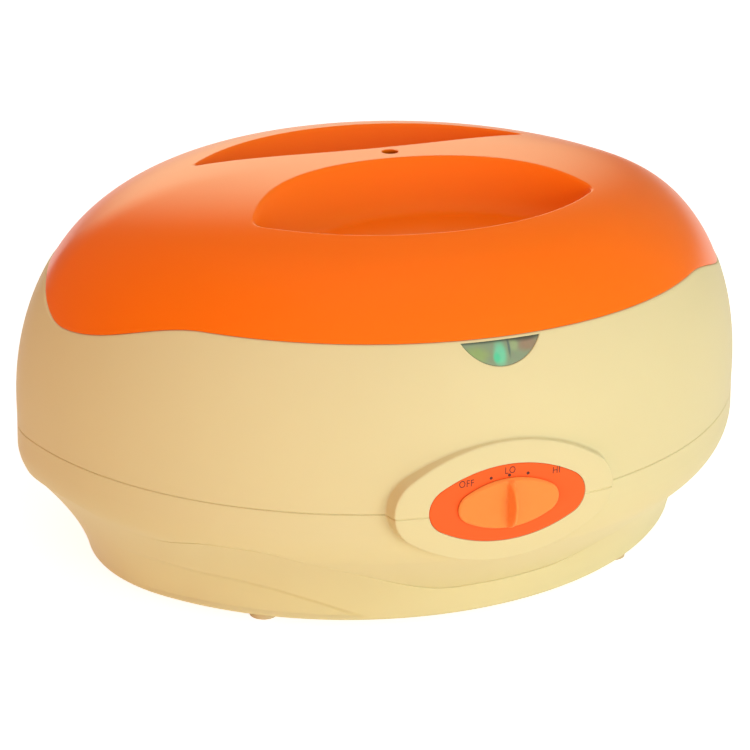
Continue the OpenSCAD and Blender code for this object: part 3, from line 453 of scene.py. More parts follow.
def build_lid_shell():
    """The lid's outer skin below the crown, its rounded edge and the tongue inside the rim."""
    t = columns(LID_COLUMNS)
    e = edge_z(t)
    half = lid_edge_half(t)
    rings = []
    for f in np.linspace(LID_FILL, 1.0, 44)[:-1]:
        x, y = skin(t, half * f, LID_INSET * ramp(f, 0.9, 0.1) ** 2)
        rings.append(ring(x, y, lid_height(*skin(t, half * f, 0))))
    # rows that take the lid's exact normals; the edge keeps the mesh's own
    exact = len(rings) - 6
    for a in np.linspace(0, QUARTER, 6):
        z = e + EDGE_GAP + EDGE_ROUND * (1 - math.sin(a))
        rings.append(ring(*skin(t, half_at(z), LID_INSET + EDGE_ROUND * (1 - math.cos(a))), z))
    x, y = skin(t, half_at(e), TONGUE_OUT)
    low = e - RIM_DEPTH + np.where(e < EDGE_Z - 0.01, 0.3, 0)
    above_window = (np.abs(x) < 25) & (y < 0)
    low = np.where(above_window, e + 0.1, low)
    for inset, z in ((TONGUE_OUT, e + EDGE_GAP), (TONGUE_OUT + 0.05, low + 0.3), (TONGUE_OUT + 0.3, low),
                     (TONGUE_IN - 0.3, low), (TONGUE_IN, low + 0.3), (TONGUE_IN, e + 3)):
        rings.append(ring(*skin(t, half_at(e), inset), z))
    outer = sheet("lid_shell", rings, "lid_body", ("lid",), flip=True)
    grid = np.stack(rings)
    normals = np.zeros_like(grid)
    normals[:exact] = slope_normals(lid_height, grid[:exact, :, 0], grid[:exact, :, 1])
    own_normals(outer, normals.reshape(-1, 3))
    return outer


def build_lid_inside():
    """Inside of the dome and the undersides of the grips."""
    t = columns(INSIDE_COLUMNS)
    e = edge_z(t)
    start = half_at(e) - TONGUE_IN
    rings = [ring(*skin(t, half_at(e), TONGUE_IN - 0.02), e + 2.9)]
    for f in np.linspace(1.0, 0.006, 130):
        x, y = skin(t, start * f, 0)
        rings.append(ring(x, y, lid_underside(x, y)))
    inner = sheet("lid_inside", rings, "lid_body", (), flip=True)
    drop_faces(inner, lambda x, y, z: vent_distance(x, y) < VENT_R + 0.3)
    return inner


def build_vent_wall():
    """Wall of the vent hole, with a short flange under the lid's inner skin."""
    a = np.arange(48) / 48 * 2 * np.pi
    rings = []
    for out, height, lower in ((0, lid_skin, -0.01), (0, lid_underside, 0), (0.15, lid_underside, 0.12),
                               (1.4, lid_underside, 0.05)):
        x, y = VENT_X + (VENT_R + out) * np.cos(a), VENT_Y + (VENT_R + out) * np.sin(a)
        rings.append(ring(x, y, height(x, y) - lower))
    return sheet("vent_wall", rings, "lid_body", ())


# Boss round the dial
def groove(z, seam):
    """Depth of the V groove at the seam between the housing's halves."""
    return GROOVE * np.clip(1 - (np.abs(z - seam) - 0.06) / 0.42, 0, 1) ** 1.3


def oval_ring(a, b, n, levels=()):
    """Outline of an upright oval, evenly spaced, with points at the wanted heights too."""
    r = UPRIGHT_END * b
    t = np.linspace(0, TURN, 8001)
    x, z = oval(a, b, r, t)
    s = running_length(x, z)
    u = np.interp(np.arange(n) / n * s[-1], s, t)
    if len(levels):
        near = 1.4
        right, left = (t < near) | (t > TURN - near), (t > np.pi - near) & (t < np.pi + near)
        tr = np.where(t > np.pi, t - TURN, t)[right]
        order = np.argsort(z[right])
        extra = list(np.interp(levels, z[right][order], tr[order]) % TURN)
        order = np.argsort(z[left])
        extra += list(np.interp(levels, z[left][order], t[left][order]))
        gap = s[-1] / n / side_of(a, b, r)
        u = np.array([v for v in u if min(abs(v - w) for w in extra) > 0.25 * gap] + extra)
        u.sort()
    x, z = oval(a, b, r, u)
    return x, z, np.cos(u), np.sin(u)


def body_y(x, z):
    """Outer face of the housing at the front, by sideways place and height."""
    side = side_of(BODY_A, BODY_B, BODY_R)
    k = half_at(z) / BODY_A
    return -(np.sqrt((side * k) ** 2 - x ** 2) - (side - BODY_B) * k)


SEAM_LEVELS = [FACE_SEAM - CZ + d for d in (-0.5, -0.3, -0.06, 0.06, 0.3, 0.5)]


def build_flank():
    """Side of the boss: a small fillet at the body, a drafted wall and the rounded edge of the face."""
    ox, oz, nx, nz = oval_ring(FACE_A, FACE_B, BOSS_POINTS, SEAM_LEVELS)
    g = groove(CZ + oz, FACE_SEAM)
    sink = (FACE_SEAM - SEAM) * np.clip(1 - (np.abs(CZ + oz - FACE_SEAM) - 0.6) / 6, 0, 1)
    edge = FACE_Y + FACE_LEAN * oval_distance(BEZEL_A, BEZEL_B, ox, oz)
    deep = body_y(CX + ox, CZ + oz) - edge - BOSS_ROUND
    fillet = np.clip(0.5 * deep, 0.3, 0.9)
    drafted = FLANK_DRAFT * (deep - fillet)

    def at(out, down):
        return CX + ox + (out - g) * nx, CZ + oz + (out - g) * nz - down * sink

    rings = []
    for a in np.linspace(0, QUARTER, 8):
        x, z = at(drafted + fillet * (1 - math.sin(a)), 1)
        sunk = 0.03 if a == 0 else 0
        rings.append(ring(x, body_y(x, z) + sunk - fillet * (1 - math.cos(a)), z))
    last = rings[-1][:, 1]
    for f in np.linspace(0.9, 0, 8):
        x, z = at(drafted * f, f)
        rings.append(ring(x, edge + BOSS_ROUND + (last - edge - BOSS_ROUND) * f, z))
    for a in np.linspace(0, QUARTER, 8)[1:]:
        inward = BOSS_ROUND * (1 - math.cos(a)) + g * math.cos(a)
        y = edge + BOSS_ROUND * (1 - math.sin(a)) + g * math.sin(a)
        rings.append(ring(CX + ox - inward * nx, y, CZ + oz - inward * nz))
    return sheet("boss_flank", rings, "housing", ())


def boss_distance(a, b, plan):
    """Signed distance of points of the face from an oval round its middle."""
    return oval_distance(a, b, plan[:, 0] - CX, plan[:, 1] - CZ)


def build_face():
    """Face of the boss, filled between its rounded edge and the bezel's recess, leaning back outward."""
    ox, oz, nx, nz = oval_ring(FACE_A, FACE_B, BOSS_POINTS, SEAM_LEVELS)
    outer = np.stack([CX + ox - BOSS_ROUND * nx, CZ + oz - BOSS_ROUND * nz], -1)
    bx, bz, mx, mz = oval_ring(RECESS_A, RECESS_B, RECESS_POINTS, SEAM_LEVELS)
    inner = np.stack([CX + bx, CZ + bz], -1)
    free = [inner + d * np.stack([mx, mz], -1) for d in (0.05, 0.12, 0.2, 0.3, 0.6, 1.2)]
    xs = np.arange(-60, 60, 0.9)
    for d in (-0.9, -0.48, -0.36, -0.22, -0.06, 0.0, 0.06, 0.22, 0.36, 0.48, 0.9):
        free.append(np.stack([xs + CX, np.full_like(xs, FACE_SEAM + d)], -1))
    gx, gz = np.meshgrid(np.arange(-58, 58, 2.2), np.arange(-32, 32, 2.2))
    q = np.stack([gx.ravel() + CX, gz.ravel() + CZ], -1)
    free.append(q[np.abs(q[:, 1] - FACE_SEAM) > 1.6])
    free = np.concatenate(free)
    within = boss_distance(FACE_A - BOSS_ROUND, FACE_B - BOSS_ROUND, free) < -0.15
    outside = boss_distance(RECESS_A, RECESS_B, free) > 0.03
    plan, tris = fill([outer, inner], free[within & outside],
                      lambda c: boss_distance(RECESS_A, RECESS_B, c) > -0.02)
    near = np.clip(boss_distance(RECESS_A, RECESS_B, plan), 0, RECESS_ROUND)
    lip = RECESS_ROUND - np.sqrt(np.clip(RECESS_ROUND ** 2 - (RECESS_ROUND - near) ** 2, 0, None))
    lean = FACE_LEAN * np.clip(boss_distance(BEZEL_A, BEZEL_B, plan), 0, None)
    # near the rounded edge the face leans as far back as the edge's outline does
    rim = np.clip(boss_distance(FACE_A - BOSS_ROUND, FACE_B - BOSS_ROUND, plan) / 3 + 1, 0, 1)
    lean = lean + FACE_LEAN * BOSS_ROUND * rim
    x, z = plan.T
    points = ring(x, FACE_Y + groove(z, FACE_SEAM) + lip + lean, z)
    return make_object("boss_face", points, tris, "housing", ())


def build_recess():
    """Wall of the recess that holds the bezel."""
    x, z, _, _ = oval_ring(RECESS_A, RECESS_B, RECESS_POINTS, SEAM_LEVELS)
    walls = [ring(CX + x, y, CZ + z) for y in (FACE_Y + RECESS_ROUND, FACE_Y + 2.0)]
    return sheet("boss_recess", walls, "housing", (), flip=True)


# Housing
def seam_rows(direction):
    """V groove at the seam: (height from the seam, inset)."""
    rows = ((0.62, 0.0), (0.42, 0.05), (0.25, 0.45), (0.02, 1.0))
    return [(direction * dz, share * GROOVE) for dz, share in rows]


def build_upper():
    """Upper housing: outer skin, rounded rim, the lid's land and the ledge that holds the pot."""
    t = housing_columns()
    e = edge_z(t)
    rings = []

    def outside(z, inset=0):
        rings.append(ring(*skin(t, half_at(z), inset), z))

    for dz, inset in reversed(seam_rows(1)):
        outside(SEAM + dz, inset)
    for z in np.linspace(SEAM + 0.9, BELT, 40):
        outside(z)
    for f in np.concatenate([np.linspace(0.03, 0.68, 18), np.linspace(0.69, 1.0, 34)[:-1]]):
        outside(BELT + f * (e - RIM_ROUND - BELT))
    for a in np.linspace(0, QUARTER, 6):
        outside(e - RIM_ROUND + RIM_ROUND * math.sin(a), RIM_ROUND * (1 - math.cos(a)))
    land = e - RIM_DEPTH
    for inset, z in ((1.9, e), (2.2, e - 0.3), (2.2, land + 0.5), (2.7, land), (15.0, land)):
        rings.append(ring(*skin(t, half_at(e), inset), z))

    def pot(out):
        x, y = oval(POT_A, POT_B, POT_R, t)
        return x + out * np.cos(t), y + out * np.sin(t)

    lx, ly = skin(t, half_at(e), 16.0)
    px, py = pot(13)
    for f in (0.03, 0.1, 0.3, 0.6, 0.85, 0.97):
        rings.append(ring(lx + (px - lx) * f, ly + (py - ly) * f, land + (LEDGE_TOP - land) * f))
    for out, z in ((13.3, LEDGE_TOP - 0.4), (13.0, LEDGE_TOP - 0.9), (13.0, POT_SEAT), (3.0, POT_SEAT),
                   (3.0, LEDGE_UNDER)):
        rings.append(ring(*pot(out), z))
    return sheet("upper_shell", rings, "housing", ("upper_housing",))


def pedestal(t, z, inset):
    """Plan of the foot at a height."""
    lean = PED_FLARE * (z - FOOT) / (PED_TOP - FOOT)
    x, y = oval(PED_A + lean, PED_B + lean / 2, PED_R, t)
    return x - inset * np.cos(t), y - inset * np.sin(t)


def foot_wall(t, z, inset):
    """The foot's wall, bending from its own lean out to the lip of the wave."""
    top = wave_z(t)
    start = FOOT + PED_EDGE
    x, y = pedestal(t, z, inset)
    px, py = pedestal(t, top, inset)
    qx, qy = skin(t, half_at(top), WAVE_STEP + inset)
    f = np.clip((z - start) / (top - start), 0, 1) ** FLARE_POWER
    return x + (qx - px) * f, y + (qy - py) * f


def build_lower():
    """Lower housing: bottom, foot with two relief lines, the wave's lip and the belly."""
    t = housing_columns()
    top = wave_z(t)
    x, y = pedestal(t, FOOT, 75)
    rings = [ring(x * 0.02, y * 0.02, FOOT), ring(x * 0.5, y * 0.5, FOOT)]
    for inset in (75, 40, 12, 5, 2.6):
        rings.append(ring(*pedestal(t, FOOT, inset), FOOT))
    for a in np.linspace(0, QUARTER, 6):
        z = FOOT + PED_EDGE * (1 - math.cos(a))
        rings.append(ring(*pedestal(t, z, PED_EDGE * (1 - math.sin(a))), z))
    start = FOOT + PED_EDGE
    angle = plan_angle(t)
    second = np.interp(angle, SECOND_AT, SECOND_Z)
    # degrees at which the second line and the groove under the lip fade in and out
    where_second = ramp(angle, -74, 20) * ramp(-angle, 17, 8)
    where_groove = ramp(angle, -74, 18) * ramp(-angle, -66, 20)
    heights = [start + f * (top - 1.6 - start) for f in np.linspace(0.02, 1, 84)]
    heights += [top - d for d in (1.3, 1.05, 0.9, 0.75, 0.6, 0.45, 0.3, 0.2)]
    for z in heights:
        # the second, lower line runs out into the foot at the front left
        inset = SECOND_STEP * where_second / (1 + np.exp((z - second) / 0.55))
        under_lip = np.clip(1 - (top - z - 0.25) / 0.75, 0, 1) ** 1.2
        rings.append(ring(*foot_wall(t, z, inset + LIP_GROOVE * where_groove * under_lip), z))
    # under the lip of the wave, round it, and up the belly
    ux, uy = foot_wall(t, top, LIP_GROOVE * where_groove)
    bx, by = skin(t, half_at(top + 0.9), 0)
    for f, dz in ((0.0, -0.15), (0.25, 0.0), (0.6, 0.08), (0.85, 0.35)):
        rings.append(ring(ux + (bx - ux) * f, uy + (by - uy) * f, top + dz))
    for f in np.concatenate([np.linspace(0, 0.3, 25), np.linspace(0.31, 1.0, 90)]):
        z = top + 0.9 + f * (SEAM - 0.9 - top - 0.9)
        rings.append(ring(*skin(t, half_at(z), 0), z))
    for dz, inset in seam_rows(-1):
        rings.append(ring(*skin(t, half_at(SEAM + dz), inset), SEAM + dz))
    return sheet("lower_shell", rings, "housing", ("lower_housing",))


# Window in the upper shell
def over_window(x, y, z):
    """True on the front face inside the window's opening and a little round it."""
    round_it = 0.45
    opening = (np.hypot(x, z - LENS_Z) < LENS_R + round_it) & (np.abs(x) < WIN_A + round_it)
    return opening & (y < -122) & (z > 130) & (z < WIN_TOP + 0.05)


def window_outline(out, n=120):
    """Half-oval outline, moved outward; runs from the right corner under to the left."""
    r = LENS_R + out
    top = WIN_TOP + min(out, 0.0)
    end = math.asin((top - LENS_Z) / r)
    a = np.linspace(end, -math.pi - end, n)
    return r * np.cos(a), LENS_Z + r * np.sin(a)


def window_band(name, rows, flip=False):
    """Band along the outline from rows of (outward, depth behind the body's face)."""
    points = []
    for out, deep in rows:
        x, z = window_outline(out)
        points.append(ring(x, body_y(x, z) + deep, z))
    return sheet(name, points, "housing", (), flip, wrap=False)


def build_lintel():
    """Edge of the housing's rim over the window."""
    x = np.linspace(-WIN_A, WIN_A, 60)
    rows = [ring(x, body_y(x, z) + deep, z)
            for z, deep in ((WIN_TOP + 0.35, 0.03), (WIN_TOP + 0.1, 0.0), (WIN_TOP, 0.12), (WIN_TOP, 2.0))]
    return sheet("window_lintel", rows, "housing", (), wrap=False)


def build_lens():
    """Lens with a pillowed face and a short side wall."""
    ox, oz = window_outline(-0.12)
    middle = WIN_TOP - 3.6
    rows = []
    for f in np.concatenate([np.linspace(0, 0.9, 24), np.linspace(0.92, 1, 8)]):
        x, z = ox * f, middle + (oz - middle) * f
        bulge = 0.35 * np.sqrt(np.clip(1 - f ** 6, 0, 1))
        rows.append(ring(x, body_y(x, z) + 0.62 - bulge, z))
    rows.append(rows[-1] + np.array([0, 1.2, 0]))
    return sheet("window_lens", rows, "housing", ("indicator_lens",), flip=True)


# Dial
def build_bezel():
    """Oval plate with a rounded edge and a round hole that the cap hides."""
    n, edge, thick, hub = 256, 0.45, 1.9, 7.5
    x, z, nx, nz = oval_ring(BEZEL_A, BEZEL_B, n)
    rows = [(0.0, thick), (0.0, edge)]
    rows += [(edge * (1 - math.cos(a)), edge * (1 - math.sin(a))) for a in np.linspace(0.2, QUARTER, 6)]
    rows += [(2.0, 0), (5.0, 0)]
    rings = [ring(CX + x - inset * nx, FACE_Y + deep, CZ + z - inset * nz) for inset, deep in rows]
    angle = np.arctan2(z, x)
    hole = ring(CX + hub * np.cos(angle), FACE_Y, CZ + hub * np.sin(angle))
    rings += [hole, hole + np.array([0, thick, 0])]
    return sheet("bezel_plate", rings, "housing", ("control_bezel",), flip=True)


def build_knob():
    """Oval cap, slightly crowned, with an upright finger bar."""
    back = -FACE - 0.4
    ox, oz, nx, nz = oval_ring(KNOB_A, KNOB_B, 360)
    rings = [ring(CX + ox * 0.35, back, CZ + oz * 0.35), ring(CX + ox - 0.3 * nx, back, CZ + oz - 0.3 * nz),
             ring(CX + ox, back - 0.15, CZ + oz)]
    for a in np.linspace(0.1, QUARTER, 6):
        inset = KNOB_EDGE * (1 - math.cos(a))
        rings.append(ring(CX + ox - inset * nx, back - 0.25 - KNOB_EDGE * math.sin(a), CZ + oz - inset * nz))
    rim = len(rings) - 1
    ix, iz = ox - KNOB_EDGE * nx, oz - KNOB_EDGE * nz
    for f in np.linspace(0.99, 0.0, 90):
        rings.append(ring(CX + ix * f, back - 0.25 - KNOB_EDGE, CZ + iz * f))
    grid = np.array(rings)
    x, z = grid[..., 0] - CX, grid[..., 2] - CZ
    crown = np.clip(KNOB_CROWN - (x * x + z * z) / 380, 0, None)
    height = BAR_HIGH * np.sqrt(np.clip(1 - (z / BAR_HALF) ** 2, 0, 1))
    bar = height / (1 + (np.abs(x) / BAR_THICK) ** 3.6)
    inside = np.clip(-oval_distance(KNOB_A, KNOB_B, x, z), 0, 1)
    grid[rim:, :, 1] -= (smooth_max(crown, bar, 1.4) * inside)[rim:]
    return sheet("knob_cap", grid, "dial", ("knob",), flip=True)


def letter(name, text, x, z):
    """Printed word on the bezel."""
    curve = bpy.data.curves.new(name, "FONT")
    curve.body = text
    curve.size = 4.6 * MM
    curve.align_x = "CENTER"
    curve.align_y = "CENTER"
    curve.extrude = 0.03 * MM
    curve.space_character = 1.08
    obj = bpy.data.objects.new(name, curve)
    bpy.context.scene.collection.objects.link(obj)
    obj.rotation_euler = (math.pi / 2, 0, 0)
    obj.location = (x * MM, (-FACE - 0.07) * MM, z * MM)
    obj.scale = (0.86, 1, 1)
    bpy.context.view_layer.update()
    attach(obj, "housing")
    return obj


def dot(name, x, z):
    """Printed dot on the bezel."""
    n, r, y, thick = 24, 0.75, -FACE - 0.1, 0.06
    a = np.arange(n) / n * 2 * np.pi
    front = ring(x + r * np.cos(a), y, z + r * np.sin(a))
    verts = np.concatenate([front, front + np.array([0, thick, 0]), [[x, y, z]]])
    faces = [(i, (i + 1) % n, (i + 1) % n + n, i + n) for i in range(n)]
    faces += [(i, (i + 1) % n, 2 * n) for i in range(n)]
    mesh = bpy.data.meshes.new(name)
    mesh.from_pydata([tuple(v * MM) for v in verts], [], faces)
    obj = bpy.data.objects.new(name, mesh)
    bpy.context.scene.collection.objects.link(obj)
    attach(obj, "housing")
    return obj


# Materials
def node_of(tree, kind, **values):
    n = tree.nodes.new(kind)
    for k, v in values.items():
        setattr(n, k, v)
    return n


def set_inputs(node, values):
    for socket, value in values.items():
        node.inputs[socket].default_value = value


def new_material(name):
    """Material with its node tree and its Principled shader."""
    m = bpy.data.materials.new(name)
    m.use_nodes = True
    return m, m.node_tree, m.node_tree.nodes["Principled BSDF"]


def noise_of(nt, vector, scale, detail):
    noise = node_of(nt, "ShaderNodeTexNoise")
    set_inputs(noise, {"Scale": scale, "Detail": detail})
    nt.links.new(vector, noise.inputs["Vector"])
    return noise


def plastic(name, color, roughness, sss=0.0, sss_radius=(1, 0.3, 0.1), grain=0.0, grain_scale=900.0,
            variation=0.02, specular=0.5):
    """Moulded plastic with a faint cloudiness of colour and a fine grain."""
    m, nt, bsdf = new_material(name)
    set_inputs(bsdf, {"Base Color": (*color, 1), "Roughness": roughness, "Specular IOR Level": specular,
                      "Subsurface Weight": sss, "Subsurface Radius": sss_radius, "Subsurface Scale": 0.004})
    coords = node_of(nt, "ShaderNodeTexCoord").outputs["Object"]
    if variation:
        noise = noise_of(nt, coords, 14.0, 3.0)
        spread = node_of(nt, "ShaderNodeMapRange")
        set_inputs(spread, {"From Min": 0.35, "From Max": 0.65})
        nt.links.new(noise.outputs["Fac"], spread.inputs["Value"])
        mix = node_of(nt, "ShaderNodeMix", data_type="RGBA", blend_type="MIX")
        nt.links.new(spread.outputs["Result"], mix.inputs["Factor"])
        set_inputs(mix, {"A": (*[c * (1 - variation) for c in color], 1),
                         "B": (*[min(1, c * (1 + variation)) for c in color], 1)})
        nt.links.new(mix.outputs["Result"], bsdf.inputs["Base Color"])
    if grain:
        fine = noise_of(nt, coords, grain_scale, 2.0)
        bump = node_of(nt, "ShaderNodeBump")
        set_inputs(bump, {"Strength": grain, "Distance": 0.0002})
        nt.links.new(fine.outputs["Fac"], bump.inputs["Height"])
        nt.links.new(bump.outputs["Normal"], bsdf.inputs["Normal"])
    return m


def metal(name, color, roughness, stretch=40, scale=60.0, depth=0.12):
    """Drawn metal whose roughness runs in streaks."""
    m, nt, bsdf = new_material(name)
    set_inputs(bsdf, {"Base Color": (*color, 1), "Metallic": 1.0, "Roughness": roughness})
    coords = node_of(nt, "ShaderNodeTexCoord")
    mapping = node_of(nt, "ShaderNodeMapping")
    set_inputs(mapping, {"Scale": (1, 1, stretch)})
    nt.links.new(coords.outputs["Object"], mapping.inputs["Vector"])
    noise = noise_of(nt, mapping.outputs["Vector"], scale, 4.0)
    streaks = node_of(nt, "ShaderNodeMapRange")
    set_inputs(streaks, {"To Min": max(0.05, roughness - depth), "To Max": roughness + depth})
    nt.links.new(noise.outputs["Fac"], streaks.inputs["Value"])
    nt.links.new(streaks.outputs["Result"], bsdf.inputs["Roughness"])
    return m


def lamp_glass(name, color, emit, strength):
    """Coloured lamp cap that glows a little."""
    m, _, bsdf = new_material(name)
    set_inputs(bsdf, {"Base Color": (*color, 1), "Roughness": 0.3, "Transmission Weight": 0.2, "IOR": 1.45,
                      "Emission Color": (*emit, 1), "Emission Strength": strength})
    return m


# Patches of the window's tint, painted light and painted shade, each over the ones before: middle and half
# size in millimetres, colour, amount
LENS_PATCHES = (
    ((-13.0, 143.6), (7.5, 4.5), (0.30, 0.45, 0.17), 0.85),
    ((12.5, 146.2), (6.5, 3.6), (0.34, 0.235, 0.165), 0.8),
    ((5.5, 146.5), (2.6, 3.0), (0.36, 0.50, 0.25), 0.6),
    # painted light: the bright cyan patch, in two layers
    ((-1.4, 143.4), (3.6, 6.0), (0.19, 0.66, 0.42), 1.0),
    ((-3.2, 142.2), (2.0, 2.6), (0.10, 0.66, 0.38), 0.9),
    ((3.1, 146.0), (0.75, 5.2), (0.12, 0.19, 0.17), 0.85),
    # painted shade along the top, under the lid's edge, darker toward the right
    ((0.0, 149.4), (40.0, 1.5), (0.075, 0.11, 0.095), 0.95),
    ((12.0, 149.0), (11.0, 2.0), (0.085, 0.085, 0.07), 0.7),
)


def lens_window(name):
    """Tinted window: grey-green with a cyan patch of painted light, a dark divider, a warm far end and
    painted shade along its top under the lid's edge.
    """
    m, nt, bsdf = new_material(name)
    set_inputs(bsdf, {"Roughness": 0.16, "Specular IOR Level": 0.35})
    coords = node_of(nt, "ShaderNodeTexCoord")
    speck = noise_of(nt, coords.outputs["Object"], 420.0, 3.0)
    last = node_of(nt, "ShaderNodeRGB").outputs[0]
    last.default_value = (0.262, 0.352, 0.235, 1)
    for (x, z), (rx, rz), color, amount in LENS_PATCHES:
        place = node_of(nt, "ShaderNodeMapping", vector_type="POINT")
        set_inputs(place, {"Location": (-x / rx, 0, -z / rz), "Scale": (1 / (rx * MM), 0, 1 / (rz * MM))})
        nt.links.new(coords.outputs["Object"], place.inputs["Vector"])
        far = node_of(nt, "ShaderNodeVectorMath", operation="LENGTH")
        nt.links.new(place.outputs["Vector"], far.inputs[0])
        fade = node_of(nt, "ShaderNodeMapRange", interpolation_type="SMOOTHSTEP")
        set_inputs(fade, {"From Min": 1.15, "From Max": 0.35, "To Max": amount})
        nt.links.new(far.outputs["Value"], fade.inputs["Value"])
        mix = node_of(nt, "ShaderNodeMix", data_type="RGBA", blend_type="MIX")
        nt.links.new(fade.outputs["Result"], mix.inputs["Factor"])
        nt.links.new(last, mix.inputs["A"])
        set_inputs(mix, {"B": (*color, 1)})
        last = mix.outputs["Result"]
    tint = node_of(nt, "ShaderNodeMix", data_type="RGBA", blend_type="MULTIPLY")
    set_inputs(tint, {"Factor": 0.16})
    nt.links.new(last, tint.inputs["A"])
    nt.links.new(speck.outputs["Color"], tint.inputs["B"])
    nt.links.new(tint.outputs["Result"], bsdf.inputs["Base Color"])
    return m


def dress(obj, material):
    obj.data.materials.clear()
    obj.data.materials.append(material)


# Stage, light and camera
def any_ray(tree, *kinds):
    """Socket that is 1 for rays of these kinds, else 0."""
    path = node_of(tree, "ShaderNodeLightPath")
    found = path.outputs[kinds[0]]
    for kind in kinds[1:]:
        both = node_of(tree, "ShaderNodeMath", operation="MAXIMUM")
        tree.links.new(found, both.inputs[0])
        tree.links.new(path.outputs[kind], both.inputs[1])
        found = both.outputs[0]
    return found


def mixed(tree, factor, first, second):
    """Shader that goes from the first to the second with the factor."""
    mix = node_of(tree, "ShaderNodeMixShader")
    tree.links.new(factor, mix.inputs["Fac"])
    tree.links.new(first, mix.inputs[1])
    tree.links.new(second, mix.inputs[2])
    return mix.outputs[0]


def build_floor():
    """Floor that throws warm light back at the object and is seen as plain white with its shadow."""
    mesh = bpy.data.meshes.new("floor")
    mesh.from_pydata([(-6, -6, 0), (6, -6, 0), (6, 6, 0), (-6, 6, 0)], [], [(0, 1, 2, 3)])
    floor = bpy.data.objects.new("floor", mesh)
    bpy.context.scene.collection.objects.link(floor)
    m, nt, bounce = new_material("Pale floor")
    seen = node_of(nt, "ShaderNodeBsdfPrincipled")
    for shader, color, glow, strength in ((bounce, (0.86, 0.80, 0.66), (1.0, 0.90, 0.62), 0.20),
                                          (seen, (0.62, 0.62, 0.62), (1, 1, 1), 0.80)):
        set_inputs(shader, {"Base Color": (*color, 1), "Roughness": 0.9, "Specular IOR Level": 0.1,
                            "Emission Color": (*glow, 1), "Emission Strength": strength})
    looked_at = any_ray(nt, "Is Camera Ray", "Is Glossy Ray", "Is Transmission Ray")
    nt.links.new(mixed(nt, looked_at, bounce.outputs[0], seen.outputs[0]),
                 nt.nodes["Material Output"].inputs["Surface"])
    dress(floor, m)


def by_direction(tree, toward, low, high, first, last):
    """Colour that changes smoothly from the far side of the sky to the side it looks toward."""
    direction = node_of(tree, "ShaderNodeTexCoord")
    facing = node_of(tree, "ShaderNodeVectorMath", operation="DOT_PRODUCT")
    facing.inputs[1].default_value = Vector(toward).normalized()
    tree.links.new(direction.outputs["Generated"], facing.inputs[0])
    fade = node_of(tree, "ShaderNodeMapRange", interpolation_type="SMOOTHSTEP")
    set_inputs(fade, {"From Min": low, "From Max": high})
    tree.links.new(facing.outputs["Value"], fade.inputs["Value"])
    blend = node_of(tree, "ShaderNodeMix", data_type="RGBA")
    for end, color in (("A", first), ("B", last)):
        if isinstance(color, tuple):
            set_inputs(blend, {end: (*color, 1)})
        else:
            tree.links.new(color, blend.inputs[end])
    tree.links.new(fade.outputs["Result"], blend.inputs["Factor"])
    return blend.outputs["Result"]


def sky(tree, color, strength):
    shade = node_of(tree, "ShaderNodeBackground")
    tree.links.new(color, shade.inputs["Color"])
    set_inputs(shade, {"Strength": strength})
    return shade.outputs[0]


def build_world():
    """Soft sky, warmer at the left; a bright patch for gloss only; plain white where it is seen."""
    world = bpy.data.worlds.new("World")
    bpy.context.scene.world = world
    world.use_nodes = True
    tree = world.node_tree
    tree.nodes.clear()
    side = by_direction(tree, (-1.0, -0.30, 0.1), 0.1, 0.95, (0.74, 0.63, 0.49), (1.15, 0.16, 0.0))
    lit = by_direction(tree, (0.25, -0.85, 0.0), -0.35, 0.85, side, (0.96, 0.98, 0.95))
    gloss = by_direction(tree, (0.20, 0.87, 0.40), 0.87, 0.99, (0.11, 0.105, 0.09), (1.0, 1.0, 0.64))
    white = node_of(tree, "ShaderNodeBackground")
    set_inputs(white, {"Color": (1, 1, 1, 1)})
    lighting = mixed(tree, any_ray(tree, "Is Glossy Ray"), sky(tree, lit, 0.66), sky(tree, gloss, 2.5))
    looked_at = any_ray(tree, "Is Camera Ray", "Is Transmission Ray")
    out = node_of(tree, "ShaderNodeOutputWorld")
    tree.links.new(mixed(tree, looked_at, lighting, white.outputs[0]), out.inputs["Surface"])


def softbox(name, place, aim, size, power, color):
    light = bpy.data.lights.new(name, "AREA")
    light.shape = "RECTANGLE"
    light.size, light.size_y = size
    light.energy = power
    light.color = color
    obj = bpy.data.objects.new(name, light)
    bpy.context.scene.collection.objects.link(obj)
    obj.location = place
    obj.rotation_mode = "QUATERNION"
    obj.rotation_quaternion = (Vector(aim) - Vector(place)).to_track_quat("-Z", "Y")
    obj.visible_glossy = False


# Camera as fitted to the photograph: direction, distance in metres, and focal length and middle in its pixels
CAMERA_TURN, CAMERA_RISE, CAMERA_ROLL = math.radians(-20.72), math.radians(21.82), math.radians(0.40)
CAMERA_TARGET, CAMERA_FAR = np.array([0, 0, 0.0721]), 1.035
IMAGE, FOCAL, MIDDLE_X, MIDDLE_Y, SENSOR = 750, 2010.2, 384.4, 387.5, 36


def build_camera():
    back = np.array([math.sin(CAMERA_TURN) * math.cos(CAMERA_RISE),
                     -math.cos(CAMERA_TURN) * math.cos(CAMERA_RISE), math.sin(CAMERA_RISE)])
    level = np.array([math.cos(CAMERA_TURN), math.sin(CAMERA_TURN), 0.0])
    upright = np.cross(back, level)
    right = level * math.cos(CAMERA_ROLL) + upright * math.sin(CAMERA_ROLL)
    up = -level * math.sin(CAMERA_ROLL) + upright * math.cos(CAMERA_ROLL)
    place = CAMERA_TARGET + CAMERA_FAR * back
    data = bpy.data.cameras.new("camera")
    camera = bpy.data.objects.new("camera", data)
    bpy.context.scene.collection.objects.link(camera)
    camera.matrix_world = Matrix([[right[i], up[i], back[i], place[i]] for i in range(3)] + [[0, 0, 0, 1]])
    data.sensor_width = SENSOR
    data.lens = SENSOR * FOCAL / IMAGE
    data.shift_x = (IMAGE / 2 - MIDDLE_X) / IMAGE
    data.shift_y = (MIDDLE_Y - IMAGE / 2) / IMAGE
    data.clip_start, data.clip_end = 0.05, 50
    bpy.context.scene.camera = camera


